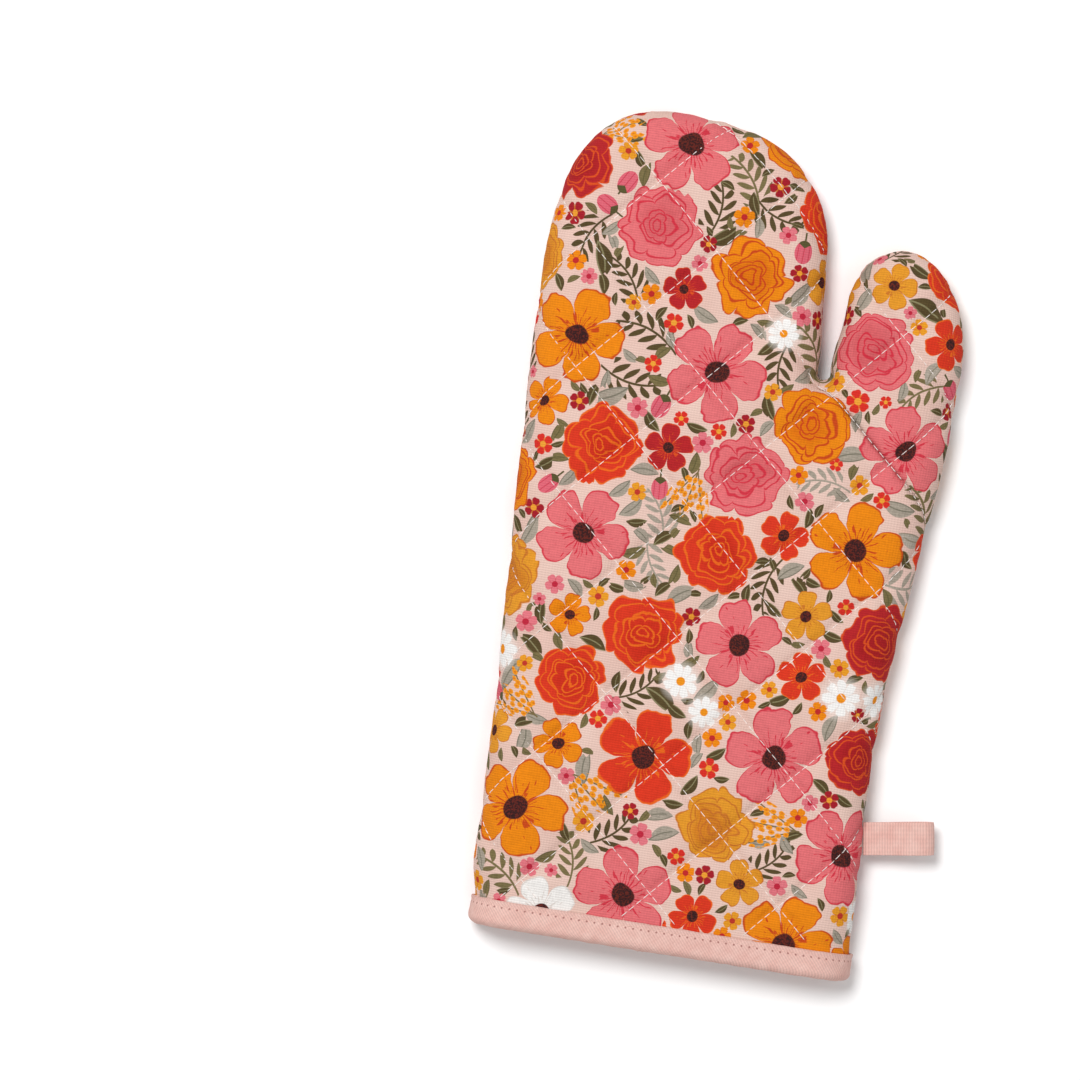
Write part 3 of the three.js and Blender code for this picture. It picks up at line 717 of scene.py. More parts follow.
def draw_leaflets(tree, colour, greens):
    """Single leaves, whose half width is a parabola along their length, with a drawn midrib and a
    darker line under one side."""
    node = partial(add, tree)
    _, x, y, tint, is_leaf = motif_place(tree, "leaflets", 2)
    square = node("Math MULTIPLY", x, x)
    lift = node("Math SUBTRACT", node("Math MULTIPLY_ADD", square, 0.22, y), 0.08)
    away = node("Math ABSOLUTE", lift)
    width = node("Math MULTIPLY", node("Math SUBTRACT", 0.94, square), 0.44)
    inside = node("Math SUBTRACT", width, away)
    leaf = overlap(tree, (inside, 0.0, 0.03), is_leaf)
    midrib = overlap(tree, (away, 0.05, 0.025), (x, 0.62, 0.5))
    under = overlap(tree, (inside, 0.1, 0.06), (lift, 0.0, -0.05))
    vein = overlap(tree, node("Math MAXIMUM", midrib, under), leaf)
    colour = paint(tree, colour, leaf, leaf_ink(tree, tint, greens))
    veins = palette(tree, tint, ("#97906a", "#757161", "#5e5836", "#8a806c"))
    return paint(tree, colour, vein, veins, 0.8)


def draw_berries(tree, colour):
    """Sprays of berries on a stem that forks in three: spots of a scattered cell pattern, kept to a
    narrow band along each branch, each with a darker dot, or white with a pale haze."""
    node = partial(add, tree)
    place, x, y, tint, is_spray = motif_place(tree, "berries", 1)
    flat = node("VectorMath MULTIPLY", place, (0.72, 1.0, 0.0))
    cells = node("TexVoronoi", at={"Vector": flat, "Scale": 4.9, "Randomness": 0.55},
                 voronoi_dimensions="2D")
    away = node("Math ABSOLUTE", y)
    fork = node("Math MULTIPLY_ADD", x, -0.48, -0.4)  # the side branches run at this distance
    branch = node("Math MINIMUM", node("Math ABSOLUTE", node("Math ADD", away, fork)), away)
    width = node("Math MULTIPLY", node("Math SUBTRACT", 1.0, node("Math MULTIPLY", x, x)), 0.33)
    band = overlap(tree, (node("Math SUBTRACT", width, branch), 0.0, 0.02), (x, -0.62, -0.6), is_spray)
    stem = overlap(tree, (branch, 0.035, 0.02), (x, 0.8, 0.75), (x, -0.98, -0.96), is_spray)
    haze = overlap(tree, (node("VectorMath LENGTH", flat, out="Value"), 1.1, 0.4), is_spray,
                   (tint, 0.24, 0.26))
    colour = paint(tree, colour, haze, "#f8f0ea", 0.65)
    colour = paint(tree, colour, stem, palette(tree, tint, ("#7c6a45", "#7c6a45", "#9a8672")))
    colour = paint(tree, colour, overlap(tree, (cells, 0.45, 0.39), band),
                   palette(tree, tint, ("#ee5322", "#f39a1f", "#fbf8f5")))
    return paint(tree, colour, overlap(tree, (cells, 0.2, 0.13), band),
                 palette(tree, tint, ("#a92a1c", "#e0701c", "#e9ddd6")), 0.75)


def draw_posies(tree, colour, group):
    """Daisies on a pale haze, small five-petalled flowers, and tulip buds held in a green cup."""
    node = partial(add, tree)
    place, x, y, tint, is_daisy, is_small, is_bud = motif_place(tree, "posies", 1, 2, 3)
    fill = palette(tree, tint, ("#f08a12", "#dc3128", "#e67a84", "#eb9d28", "#a81f2c", "#fbf8f5"))
    dot = palette(tree, tint, ("#c22c2c", "#f0a338", "#c22a40", "#c23a2c", "#f0a035", "#f3961e"))
    # the daisy: eight narrow petals, with creases between them
    inside, radius, across, _ = node("Group", place, 8.0, 0.0, 0.3, 0.98, 0.45, node_tree=group, out=None)
    colour = paint(tree, colour, overlap(tree, (radius, 1.25, 0.7), is_daisy), "#f8f0ea", 0.6)
    crease = overlap(tree, (across, 0.75, 1.0), (radius, 0.75, 0.3))
    colour = paint(tree, colour, overlap(tree, (inside, 0.0, 0.06), is_daisy),
                   paint(tree, fill, crease, "#d8cfc9", 0.5))
    # the small flower: five round petals and a contrasting centre
    inside, _, across, _ = node("Group", place, 5.0, 0.6, 0.5, 0.98, 0.2, node_tree=group, out=None)
    small = overlap(tree, (inside, 0.0, 0.06), is_small)
    colour = paint(tree, colour, small, fill)
    crease = overlap(tree, (across, 0.7, 0.95), (radius, 0.8, 0.6), small)
    colour = paint(tree, colour, crease, dot, 0.5)
    eye = node("Math MAXIMUM", overlap(tree, (radius, 0.26, 0.22), is_daisy),
               overlap(tree, (radius, 0.3, 0.26), is_small))
    colour = paint(tree, colour, eye, dot)
    # the bud: an egg shape with stripes, a cup below it and a stem
    egg = node("CombineXYZ", node("Math MULTIPLY_ADD", x, 1.1, -0.15), node("Math MULTIPLY", y, 1.5), 0.0)
    bud = overlap(tree, (node("VectorMath LENGTH", egg, out="Value"), 0.88, 0.85), is_bud)
    stripe = node("MapRange", node("Math COSINE", node("Math MULTIPLY", y, 17.0)), 0.8, 0.95)
    colour = paint(tree, colour, bud, paint(tree, linear("#e26878"), stripe, "#c22840", 0.7))
    away = node("Math ABSOLUTE", y)
    cup = overlap(tree, (node("Math MULTIPLY_ADD", away, 0.7, x), -0.12, -0.15), bud)
    stem = overlap(tree, (away, 0.07, 0.05), (x, -0.5, -0.55), (x, -1.2, -1.18), is_bud)
    return paint(tree, colour, node("Math MAXIMUM", cup, stem), "#5d5734")


def draw_blossoms(tree, colour, group, inks):
    """Open flowers of five petals with a dark centre, and roses, which are rings of petals one inside
    another, each outlined."""
    node = partial(add, tree)
    place, _, _, tint, is_open, is_rose = motif_place(tree, "blossoms", 1, 2)
    fill = grained(tree, palette(tree, tint, inks), INK_GRAIN, 0.93, 1.06)
    line = palette(tree, tint, ("#c4351c", "#f1701e", "#d2253c", "#c8702a", "#e2561f", "#ddd3cc"))
    where = node("TexCoord", out="Object")
    drift = node("TexNoise", where, None, 1000 / HAND_DRIFT, 0.0, out="Color")
    drift = node("VectorMath SUBTRACT", drift, (0.5, 0.5, 0.5))
    drift = node("VectorMath MULTIPLY", drift, (0.44, 0.44, 0.0))
    # the open flower: outlined petals, with strokes that run out from the centre
    inside, radius, across, angle = node("Group", place, 5.0, 0.3, 0.34, 1.0, 0.2,
                                         node_tree=group, out=None)
    flower = overlap(tree, (inside, 0.0, 0.02), is_open)
    polar = node("CombineXYZ", node("Math MULTIPLY", angle, 3.2), node("Math MULTIPLY", radius, 1.3), 0.0)
    stroke = node("Math SUBTRACT", node("TexNoise", polar, None, 3.0, 1.0, 0.4),
                  node("MapRange", radius, 0.22, 0.75, 0.5, 0.75))
    strokes = node("Math MAXIMUM", node("MapRange", stroke, 0.0, 0.03),
                   overlap(tree, (across, 0.93, 0.97), (radius, 0.45, 0.4)))
    drawn = node("Math MAXIMUM", node("MapRange", inside, 0.065, 0.035), strokes)
    flower_lines = overlap(tree, drawn, flower)
    # the dark centre, a rough oval
    oval = node("VectorMath ADD", place, node("VectorMath MULTIPLY", drift, (0.3, 0.3, 0.0)))
    oval = node("VectorMath MULTIPLY", oval, (1.0, 1.12, 0.0))
    eye = overlap(tree, (node("VectorMath LENGTH", oval, out="Value"), 0.25, 0.225), is_open)
    # the rose: for each ring its petals, turn, waist, size and shift, from the outside in
    rings = [
        (6.0, 0.2, 0.84, 1.0, (0.0, 0.0, 0.0)), (5.0, 1.1, 0.8, 0.8, (0.05, -0.05, 0.0)),
        (4.0, 0.1, 0.76, 0.62, (-0.02, -0.1, 0.0)), (4.0, 0.9, 0.72, 0.44, (0.04, 0.0, 0.0)),
        (3.0, 0.2, 0.7, 0.28, (0.0, -0.03, 0.0)), (3.0, 1.3, 0.7, 0.14, (0.02, -0.02, 0.0)),
    ]
    loose = node("VectorMath ADD", place, drift)
    depths = [node("Group", node("VectorMath ADD", loose, shift), *sizes, 0.1, node_tree=group)
              for *sizes, shift in rings]
    rose = overlap(tree, (depths[0], 0.0, 0.02), is_rose)
    drawn = node("MapRange", depths[0], 0.055, 0.03)
    for depth in depths[1:]:
        drawn = node("Math MAXIMUM", drawn, node("MapRange", node("Math ABSOLUTE", depth), 0.03, 0.014))
    lines = node("Math MAXIMUM", flower_lines, overlap(tree, drawn, rose))
    heart = overlap(tree, (depths[2], -0.1, 0.2), rose)
    fill = paint(tree, fill, heart, node("VectorMath MULTIPLY", fill, (0.86, 0.7, 0.72)))
    colour = paint(tree, colour, node("Math MAXIMUM", flower, rose), fill)
    colour = paint(tree, colour, lines, line, 0.85)
    speck = node("TexNoise", where, None, 1000 / EYE_SPECK, 1.0, 0.5)
    speck = node("MapRange", speck, 0.45, 0.6)
    return paint(tree, colour, eye, paint(tree, linear("#3a1f20"), speck, "#6a2a22"))


def finish_cloth(tree, colour, height, relief, strength, roughness):
    """Joins a cloth's colour and its weave's height, whose relief is in mm, to one shader."""
    node = partial(add, tree)
    bump = node("Bump", at={"Strength": strength, "Distance": relief / 1000, "Height": height})
    shader = node("BsdfPrincipled", at={"Base Color": colour, "Roughness": roughness,
                                        "Specular IOR Level": 0.15, "Normal": bump})
    node("OutputMaterial", shader, out=None)


def mottled(tree, light, dark, grain, detail, roughness):
    """A colour that goes from light to dark in soft patches of this size in mm, and the patches."""
    node = partial(add, tree)
    mottle = node("TexNoise", node("TexCoord", out="Object"), None, 1000 / grain, detail, roughness)
    return paint(tree, light, node("MapRange", mottle, 0.3, 0.7), dark), mottle


def weave(tree, colour, pitches, shades, turn=0.0):
    """Crossing threads from the cloth's own map, 100 mm to a unit: two wave patterns, the second one across
    the first, each of which paints the threads' light and shade into the colour, between two amounts,
    darkest in the grooves. A wave of scale pi/10 repeats once in a unit, so the scale is that over the
    thread pitch as a share of 100 mm."""
    node = partial(add, tree)
    turned = node("Mapping", node("UVMap", uv_map="cloth"), None, (0, 0, turn))
    ridges = [
        node("TexWave", out="Fac", bands_direction=direction, at={
            "Vector": turned, "Scale": 100 / size * math.pi / 10,
            "Distortion": 1.2, "Detail": 1.0, "Detail Scale": 3.0})
        for size, direction in zip(pitches, "XY")
    ]
    # painted light and shade of the threads: the colour is darkest in each groove
    light = overlap(tree, *((ridge, 0.0, 1.0, *shade) for ridge, shade in zip(ridges, shades)))
    return node("VectorMath MULTIPLY", colour, light), *ridges


def shaded(colour, *amounts):
    """A colour times these amounts of its red, green and blue, or times one amount."""
    return [v * amount for v, amount in zip(colour[:3], amounts * (3 // len(amounts)))] + [1.0]


def printed_cotton(given):
    """Plain-weave cotton, screen printed: dull, with fine ribs across the grain whose light and shade are
    painted into the ink, and colours that sit flat in the cloth."""
    made, tree, node = new_material("printed_cotton")
    group = petal_group()
    ink = lambda name: tuple(getattr(given, name + "_ink"))
    greens = [ink(name) for name in ("olive", "sage", "fern", "pale_sage")]
    inks = [ink(name) for name in ("orange", "red", "pink", "mustard", "crimson", "white")]
    ground = tuple(given.ground)
    colour, _ = mottled(tree, ground, shaded(ground, 0.94, 0.88, 0.87), GROUND_MOTTLE, 2.0, 0.5)
    colour = draw_sprigs(tree, colour, greens)
    colour = draw_leaflets(tree, colour, greens)
    colour = draw_berries(tree, colour)
    colour = draw_posies(tree, colour, group)
    colour = draw_blossoms(tree, colour, group, inks)
    colour, warp, weft = weave(tree, colour, (WARP_PITCH, RIB_PITCH), ((0.96, 1.0), (0.77, 0.92)))
    finish_cloth(tree, colour, node("Math ADD", weft, warp), COTTON_RELIEF, 0.5, 0.95)
    return made


def rose_tape(name, shade, pitches, turn, painted_hole_shade):
    """Cotton tape, piece dyed pale rose: dull, with fine ridges that catch the light, and whose light and
    shade are also painted into the colour. Twill has them on the slant, and grosgrain across. Where it is
    sewn, the shade of a small needle hole is painted at each stitch's end."""
    made, tree, node = new_material(name)
    shade = tuple(shade)
    colour, _ = mottled(tree, shade, shaded(shade, 0.91, 0.82, 0.81), TAPE_MOTTLE, 3.0, 0.6)
    colour, ridge, _ = weave(tree, colour, pitches, ((0.76, 0.92), (0.96, 1.01)), turn)
    if painted_hole_shade:
        along_tape, down_tape, _ = node("SeparateXYZ", node("UVMap", uv_map="cloth"), out=None)
        start = 0.5 - HOLE_START / BINDING_PITCH
        cell = node("Math MULTIPLY_ADD", along_tape, 100 / BINDING_PITCH, start)
        cell = node("Math MULTIPLY_ADD", node("Math FRACT", cell), BINDING_PITCH, -BINDING_PITCH / 2)
        down = node("Math MULTIPLY_ADD", down_tape, 100.0, -STITCH_ROW)
        gap = node("VectorMath LENGTH", node("CombineXYZ", cell, down, 0.0), out="Value")
        # painted shade: a dark dot round each stitch's end, where the needle hole lies
        colour = paint(tree, colour, node("MapRange", gap, HOLE_SHADE_EDGE, HOLE_SHADE_CORE, 0.0, 0.75), "#8d5650")
    finish_cloth(tree, colour, ridge, TAPE_RELIEF, 0.6, 0.95)
    return made


def plain_cloth(name, shade, darkest, grain, roughness=0.95):
    """Undyed cotton lining or needled wadding: matt, with a soft fibre texture."""
    made, tree, _ = new_material(name)
    colour, mottle = mottled(tree, tuple(shade), shaded(shade, darkest), grain, 4.0, 0.65)
    finish_cloth(tree, colour, mottle, FIBRE_RELIEF, 0.5, roughness)
    return made


def thread(name, shade, darkest):
    """Spun polyester sewing thread: a faint shine, with the twist of its plies along it."""
    made, tree, node = new_material(name)
    twist = node("TexNoise", node("TexCoord", out="Object"), None, 1000 / THREAD_TWIST, 1.0, 0.5)
    colour = paint(tree, shaded(shade, darkest), node("MapRange", twist, 0.35, 0.65), tuple(shade))
    finish_cloth(tree, colour, twist, THREAD_RELIEF, 0.4, 0.6)
    return made


# ---------------------------------------------------------------- add-on


def length_setting(name, description, default, low, high):
    """A length property, given in millimetres and kept in metres."""
    return bpy.props.FloatProperty(name=name, description=description, default=default / 1000,
                                   min=low / 1000, max=high / 1000, precision=5, unit="LENGTH")


def colour_setting(name, description, default):
    """A colour property, given as sRGB hex and kept linear."""
    return bpy.props.FloatVectorProperty(name=name, description=description, default=linear(default),
                                         size=4, min=0, max=1, subtype="COLOR")


class MittSettings(bpy.types.PropertyGroup):
    """Sizes and colours that a user may change."""

    quilt_spacing: length_setting("Quilting spacing", "Gap between the lines of quilting", 34.9, 20, 60)
    cells: bpy.props.IntProperty(name="Mesh cells", default=20, min=6, max=30,
                                 description="Mesh cells across one square of the quilting")
    puff: length_setting("Puff", "Height of the cloth between the lines of quilting", 1.5, 0, 4)
    groove: length_setting("Groove", "Depth of the cloth along the lines of quilting", 1.2, 0, 3)
    stitch_length: length_setting("Stitch length", "Length of one quilting stitch", 3.2, 1.5, 5)
    stitch_gap: length_setting("Stitch gap", "Gap from one quilting stitch to the next", 0.35, 0.2, 2)
    thread_width: length_setting("Thread width", "Diameter of the sewing thread", 0.34, 0.2, 0.8)
    ground: colour_setting("Ground", "Colour of the cotton under the print", "#eecdc0")
    orange_ink: colour_setting("Orange ink", "The print's orange flowers", "#f08a12")
    red_ink: colour_setting("Red ink", "The print's red flowers", "#de3a22")
    pink_ink: colour_setting("Pink ink", "The print's pink flowers", "#e87478")
    mustard_ink: colour_setting("Mustard ink", "The print's mustard flowers", "#e79a2c")
    crimson_ink: colour_setting("Crimson ink", "The print's crimson flowers", "#b8262a")
    white_ink: colour_setting("White ink", "The print's white flowers", "#f7f3ef")
    olive_ink: colour_setting("Olive ink", "The print's dark leaves", "#5a4b2d")
    sage_ink: colour_setting("Sage ink", "The print's grey-green leaves", "#aa9f90")
    fern_ink: colour_setting("Fern ink", "The print's mid-green leaves", "#7c6f49")
    pale_sage_ink: colour_setting("Pale sage ink", "The print's palest leaves", "#b5aa9c")
    tape_shade: colour_setting("Tape", "The binding and the hanging loop", "#f5cbc0")
    lining_shade: colour_setting("Lining", "The cotton inside the mitt", "#f4ece0")
    wadding_shade: colour_setting("Wadding", "The filling between the cloths", "#f6f3ec")
    quilting_thread: colour_setting("Quilting thread", "The thread of the quilting", "#fdf3ee")
    binding_thread: colour_setting("Binding thread", "The thread that sews the binding down", "#f0c8bc")


def in_mm(given, name):
    """A length setting in millimetres."""
    return getattr(given, name) * 1000


SIDES = (("front", 1), ("back", -1))  # the sign is the side's direction from the seam
SHELLS = {}  # each side's plan and points, which the quilting lies on


def stands_for(side, layer, thumb):
    """The frame's nodes that one piece of a layer replaces."""
    return [f"{side}_{layer}_thumb"] if thumb else [f"{side}_{layer}_palm", f"{side}_{layer}_fingers"]


class MITT_OT_shells(bpy.types.Operator):
    """Makes the printed shells of the front and the back, quilted and laid over the batting"""

    bl_idname = "mitt.shells"
    bl_label = "Printed Shells"

    def execute(self, context):
        given = context.scene.mitt
        spacing, groove, puff = (in_mm(given, name) for name in ("quilt_spacing", "groove", "puff"))
        material = printed_cotton(given)
        rows = motifs()
        for side, sign in SIDES:
            plan = Plan(sign, given.cells, spacing)
            points = quilted(plan, 0.0, groove, puff, SHELL_PUCKER, NOISE_SEED + sign)
            flat = plan.unrolled(0.0)
            print_map = flat if sign > 0 else np.array([0, BACK_PRINT_TOP]) - flat
            for thumb in (False, True):
                tail = "_thumb" if thumb else ""
                used, blocks = split(plan, thumb)
                obj = new_mesh(f"{side}_printed_shell{tail}", points[used], as_lists(blocks))
                set_cloth_map(obj, print_map[used])
                lay_print(obj, print_map[used], rows)
                thicken(obj, SHELL_THICKNESS)
                give(obj, material)
                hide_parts(*stands_for(side, "shell", thumb))
                hold(obj, thumb)
            SHELLS[side] = (plan, points)
        return {"FINISHED"}


class MITT_OT_filling(bpy.types.Operator):
    """Makes the wadding and the lining of each side, drawn together by the quilting"""

    bl_idname = "mitt.filling"
    bl_label = "Wadding and Lining"

    def execute(self, context):
        given = context.scene.mitt
        spacing, groove, puff = (in_mm(given, name) for name in ("quilt_spacing", "groove", "puff"))
        wadding = plain_cloth("needled_wadding", given.wadding_shade, 0.88, WADDING_TUFT, 1.0)
        lining = plain_cloth("cotton_lining", given.lining_shade, 0.9, LINING_SLUB)
        for side, sign in SIDES:
            plan = Plan(sign, 8, spacing, rings=8)
            top = quilted(plan, WADDING_TOP, groove, WADDING_PUFF * puff)
            under = quilted(plan, WADDING_UNDER, INNER_GROOVE, 0.0)
            inner = quilted(plan, LINING_TOP, INNER_GROOVE, 0.0, LINING_PUCKER)
            flat = plan.unrolled(LINING_TOP)
            for thumb in (False, True):
                tail = "_thumb" if thumb else ""
                used, blocks = split(plan, thumb)
                count = len(used)
                a, b = border(blocks).T
                walls = np.stack([b, a, a + count, b + count], 1)
                shut = [*blocks, *(block[:, ::-1] + count for block in blocks), walls]
                both = np.concatenate([top[used], under[used]])
                pad = new_mesh(f"{side}_wadding{tail}", both, as_lists(shut))
                give(pad, wadding)
                cloth = new_mesh(f"{side}_cotton_lining{tail}", inner[used], as_lists(blocks))
                set_cloth_map(cloth, flat[used])
                thicken(cloth, LINING_THICKNESS)
                give(cloth, lining)
                for obj, layer in ((pad, "batting"), (cloth, "lining")):
                    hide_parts(*stands_for(side, layer, thumb))
                    hold(obj, thumb)
        return {"FINISHED"}


def edges_of(blocks):
    """The edges of blocks of faces, each in its own face's direction."""
    return np.concatenate(
        [np.stack([block, np.roll(block, -1, 1)], -1).reshape(-1, 2) for block in blocks])


def border(blocks):
    """The edges that only one face uses: those whose reverse isn't there."""
    edges = edges_of(blocks)
    count = edges.max() + 1
    return edges[~np.isin(edges[:, 0] * count + edges[:, 1], edges[:, 1] * count + edges[:, 0])]


class MITT_OT_quilting(bpy.types.Operator):
    """Sews the lines of quilting: a short arch of thread for each stitch, dipping into the cloth"""

    bl_idname = "mitt.quilting"
    bl_label = "Quilting Stitches"

    def execute(self, context):
        given = context.scene.mitt
        material = thread("white_thread", given.quilting_thread, 0.66)
        spacing, radius = in_mm(given, "quilt_spacing"), in_mm(given, "thread_width") / 2
        for side, _ in SIDES:
            if side not in SHELLS:
                raise RuntimeError("The quilting lies on the printed shells, so they are made first")
            plan, points = SHELLS[side]
            paths, middles = self.stitches(given, plan, points, spacing)
            for thumb in (False, True):
                chosen = paths[on_thumb(paths[:, 2], middles, spacing) == thumb]
                obj = new_mesh(f"{side}_quilting" + ("_thumb" if thumb else ""), *tubes(chosen, radius))
                give(obj, material)
                hold(obj, thumb)
        return {"FINISHED"}

    def stitches(self, given, plan, points, spacing):
        """Paths of five points along every line of quilting, and the middle of each in the flat cloth.
        A line is where it crosses the mesh's edges, in order, and a path is read off between them."""
        size = in_mm(given, "stitch_length")
        pitch = size + in_mm(given, "stitch_gap")
        a, b = np.unique(np.sort(edges_of((plan.quads, plan.triangles)), 1), axis=0).T
        place, outward = quilt_coordinates(plan.unrolled(0.0)), plan.normal()
        paths, middles = [], []
        for axis in (0, 1):
            side, run = place[:, axis], place[:, 1 - axis]
            for k in range(math.floor(side.min() / spacing), math.ceil(side.max() / spacing) + 1):
                level = k * spacing + ROW_NUDGE
                cut = (side[a] < level) != (side[b] < level)
                if cut.sum() < 8:
                    continue
                share = ((level - side[a[cut]]) / (side[b[cut]] - side[a[cut]]))[:, None]
                between = lambda values: values[a[cut]] + share * (values[b[cut]] - values[a[cut]])
                found = between(np.column_stack([run, points, outward, plan.lift]))
                found = found[np.argsort(found[:, 0])]
                at = found[:, 0]
                middle = np.arange(at[0] + pitch / 2, at[-1] - pitch / 2, pitch)
                spots = middle[:, None] + np.linspace(-0.5, 0.5, len(STITCH_BOW)) * size
                after = np.clip(np.searchsorted(at, spots), 1, len(at) - 1)
                whole = (at[after] - at[after - 1] < ROW_BREAK).all(1)
                x, y, z, nx, ny, nz, lift = (np.interp(spots, at, found[:, i]) for i in range(1, 8))
                whole &= ((y > BINDING_DEPTH + 1) & (lift > SEWN_LIFT)).all(1)
                out = np.stack([nx, ny, nz], -1)
                out /= np.maximum(np.linalg.norm(out, axis=-1), 1e-9)[..., None]
                paths.append((np.stack([x, y, z], -1) + out * STITCH_BOW[:, None])[whole])
                levels = np.full(middle.shape, level)
                where = np.column_stack([middle, levels] if axis else [levels, middle])
                middles.append((QUILT_ORIGIN + where @ quilt_directions())[whole])
        return np.concatenate(paths), np.concatenate(middles)


def mouth_loop(depth, count=MOUTH_POINTS):
    """The mitt's section at the mouth, this far below its outside: two flat faces joined by quarter
    ellipses, as an even closed loop of points and their outward normals in x and z."""
    turn = np.linspace(0, math.pi / 2, 24)
    corners = []
    for sign, x_sign in ((1, -1), (1, 1), (-1, 1), (-1, -1)):
        roll = FRONT_ROLL if sign > 0 else BACK_ROLL
        rise = (FRONT_RISE if sign > 0 else BACK_RISE - BACK_PINCH) - depth
        x = x_sign * (CUFF_HALF - roll + (roll - depth) * np.cos(turn))
        z = SEAM_Z + sign * rise * np.sin(turn)
        arc = np.stack([x, z], 1)
        corners.append(arc if sign * x_sign < 0 else arc[::-1])
    loop = np.concatenate(corners)
    loop = loop[np.r_[True, np.linalg.norm(np.diff(loop, axis=0), axis=1) > 1e-4]]
    closed = np.vstack([loop, loop[:1]])
    at = np.linspace(0, along(closed)[-1], count, endpoint=False)
    return np.stack([np.interp(at, along(closed), closed[:, i]) for i in (0, 1)], 1)


class MITT_OT_binding(bpy.types.Operator):
    """Folds the binding tape over the mouth's raw edge and sews it down"""

    bl_idname = "mitt.binding"
    bl_label = "Binding"

    def execute(self, context):
        given = context.scene.mitt
        profile = self.profile()
        loops = [mouth_loop(depth) for depth, _ in profile]
        around = along(np.vstack([loops[0], loops[0][:1]]))[:-1]
        points = np.stack([np.insert(loop, 1, y, axis=1) for loop, (_, y) in zip(loops, profile)])
        points += self.relief(points, around)
        k = np.arange(points[..., 0].size).reshape(points.shape[:2])
        nxt, below = np.roll(k, -1, 1), np.roll(k, -1, 0)
        faces = np.stack([k, below, np.roll(below, -1, 1), nxt], -1).reshape(-1, 4)
        obj = new_mesh("cuff_binding_tape", points.reshape(-1, 3), faces)
        over = np.cumsum(np.r_[0, np.hypot(*np.diff(profile, axis=0).T)])
        set_cloth_map(obj, np.stack(np.meshgrid(around, over), -1).reshape(-1, 2))
        twill = rose_tape("rose_twill_tape", given.tape_shade,
                          (TWILL_PITCH, TWILL_CROSS), TWILL_SLANT, True)
        give(obj, twill)
        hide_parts("cuff_binding")
        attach(obj, "palm")
        self.sew(given, loops[0])
        return {"FINISHED"}

    def profile(self):
        """The tape's section as (depth, y) points: a strip one tape thick that runs down the outside,
        round the fold and up the inside, drawn in along the stitching."""
        turn = np.linspace(0, math.pi, 13)
        straight = np.linspace(BINDING_DEPTH - BINDING_EDGE, FOLD_START, 14)
        fold = np.stack([
            FOLD_MIDDLE - FOLD_HALF * np.cos(turn), FOLD_START - FOLD_BULGE * np.sin(turn)], 1)
        path = np.concatenate([
            np.stack([np.full(14, FOLD_MIDDLE - FOLD_HALF), straight], 1), fold[1:-1],
            np.stack([np.full(14, FOLD_MIDDLE + FOLD_HALF), straight[::-1]], 1),
        ])
        tangent = np.gradient(path, axis=0)
        tangent /= np.linalg.norm(tangent, axis=1)[:, None]
        side = np.stack([tangent[:, 1], -tangent[:, 0]], 1)
        drawn = TAPE_DRAWN * np.exp(-(((path[:, 1] - (BINDING_DEPTH - SEW_DOWN)) / 0.7) ** 2))
        outer = path + side * (TAPE_THICK - drawn)[:, None]
        inner = path - side * TAPE_THICK
        turn = np.linspace(0.4, math.pi - 0.4, 4)
        cap = np.stack([TAPE_THICK * np.cos(turn), 0.45 * np.sin(turn)], 1)
        return np.concatenate([outer, path[-1] + cap, inner[::-1], path[0] + cap])

    def relief(self, points, around):
        """The tape's unevenness, along its outward normal: slight waves, and on the front a ridge with
        a fine groove in it, where the tape's two ends are joined."""
        ahead = np.roll(points, -1, 1) - np.roll(points, 1, 1)
        over = np.roll(points, -1, 0) - np.roll(points, 1, 0)
        normal = np.cross(over, ahead)
        normal /= np.maximum(np.linalg.norm(normal, axis=2)[..., None], 1e-9)
        y = points[..., 1]
        spots = np.stack([np.broadcast_to(around, y.shape), y * 1.6], -1).reshape(-1, 2)
        waves = ripple(spots, 7.0, BINDING_SEED).reshape(y.shape) * 0.1
        join = points[..., 0] - (TAPE_JOIN + (y - 5) * JOIN_SLANT)
        ridge = 0.34 * np.exp(-((join / 1.5) ** 2)) - 0.5 * np.exp(-((join / 0.32) ** 2))
        rows = len(points)
        ridge *= (points[..., 2] > SEAM_Z) & (np.arange(rows)[:, None] < rows * 0.45)
        return normal * (waves + ridge)[..., None]

    def sew(self, given, loop):
        """The stitching that holds the binding, a little below its upper edge, on both faces."""
        closed = np.vstack([loop, loop[:1]])
        around = along(closed)
        starts = np.arange(0, around[-1] - BINDING_PITCH, BINDING_PITCH)
        at = starts[:, None] + np.linspace(0, BINDING_STITCH, len(BINDING_BOW))
        x, z = (np.interp(at, around, closed[:, i]) for i in (0, 1))
        z = z + np.sign(z - SEAM_Z) * (BINDING_BOW - 0.22)
        paths = np.stack([x, np.full(x.shape, BINDING_DEPTH - SEW_DOWN), z], -1)
        keep = np.abs(paths[:, 2, 0]) < CUFF_HALF - 6
        obj = new_mesh("binding_stitches", *tubes(paths[keep], in_mm(given, "thread_width") * 0.45))
        give(obj, thread("rose_thread", given.binding_thread, 0.72))
        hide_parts("binding_stitching")
        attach(obj, "palm")


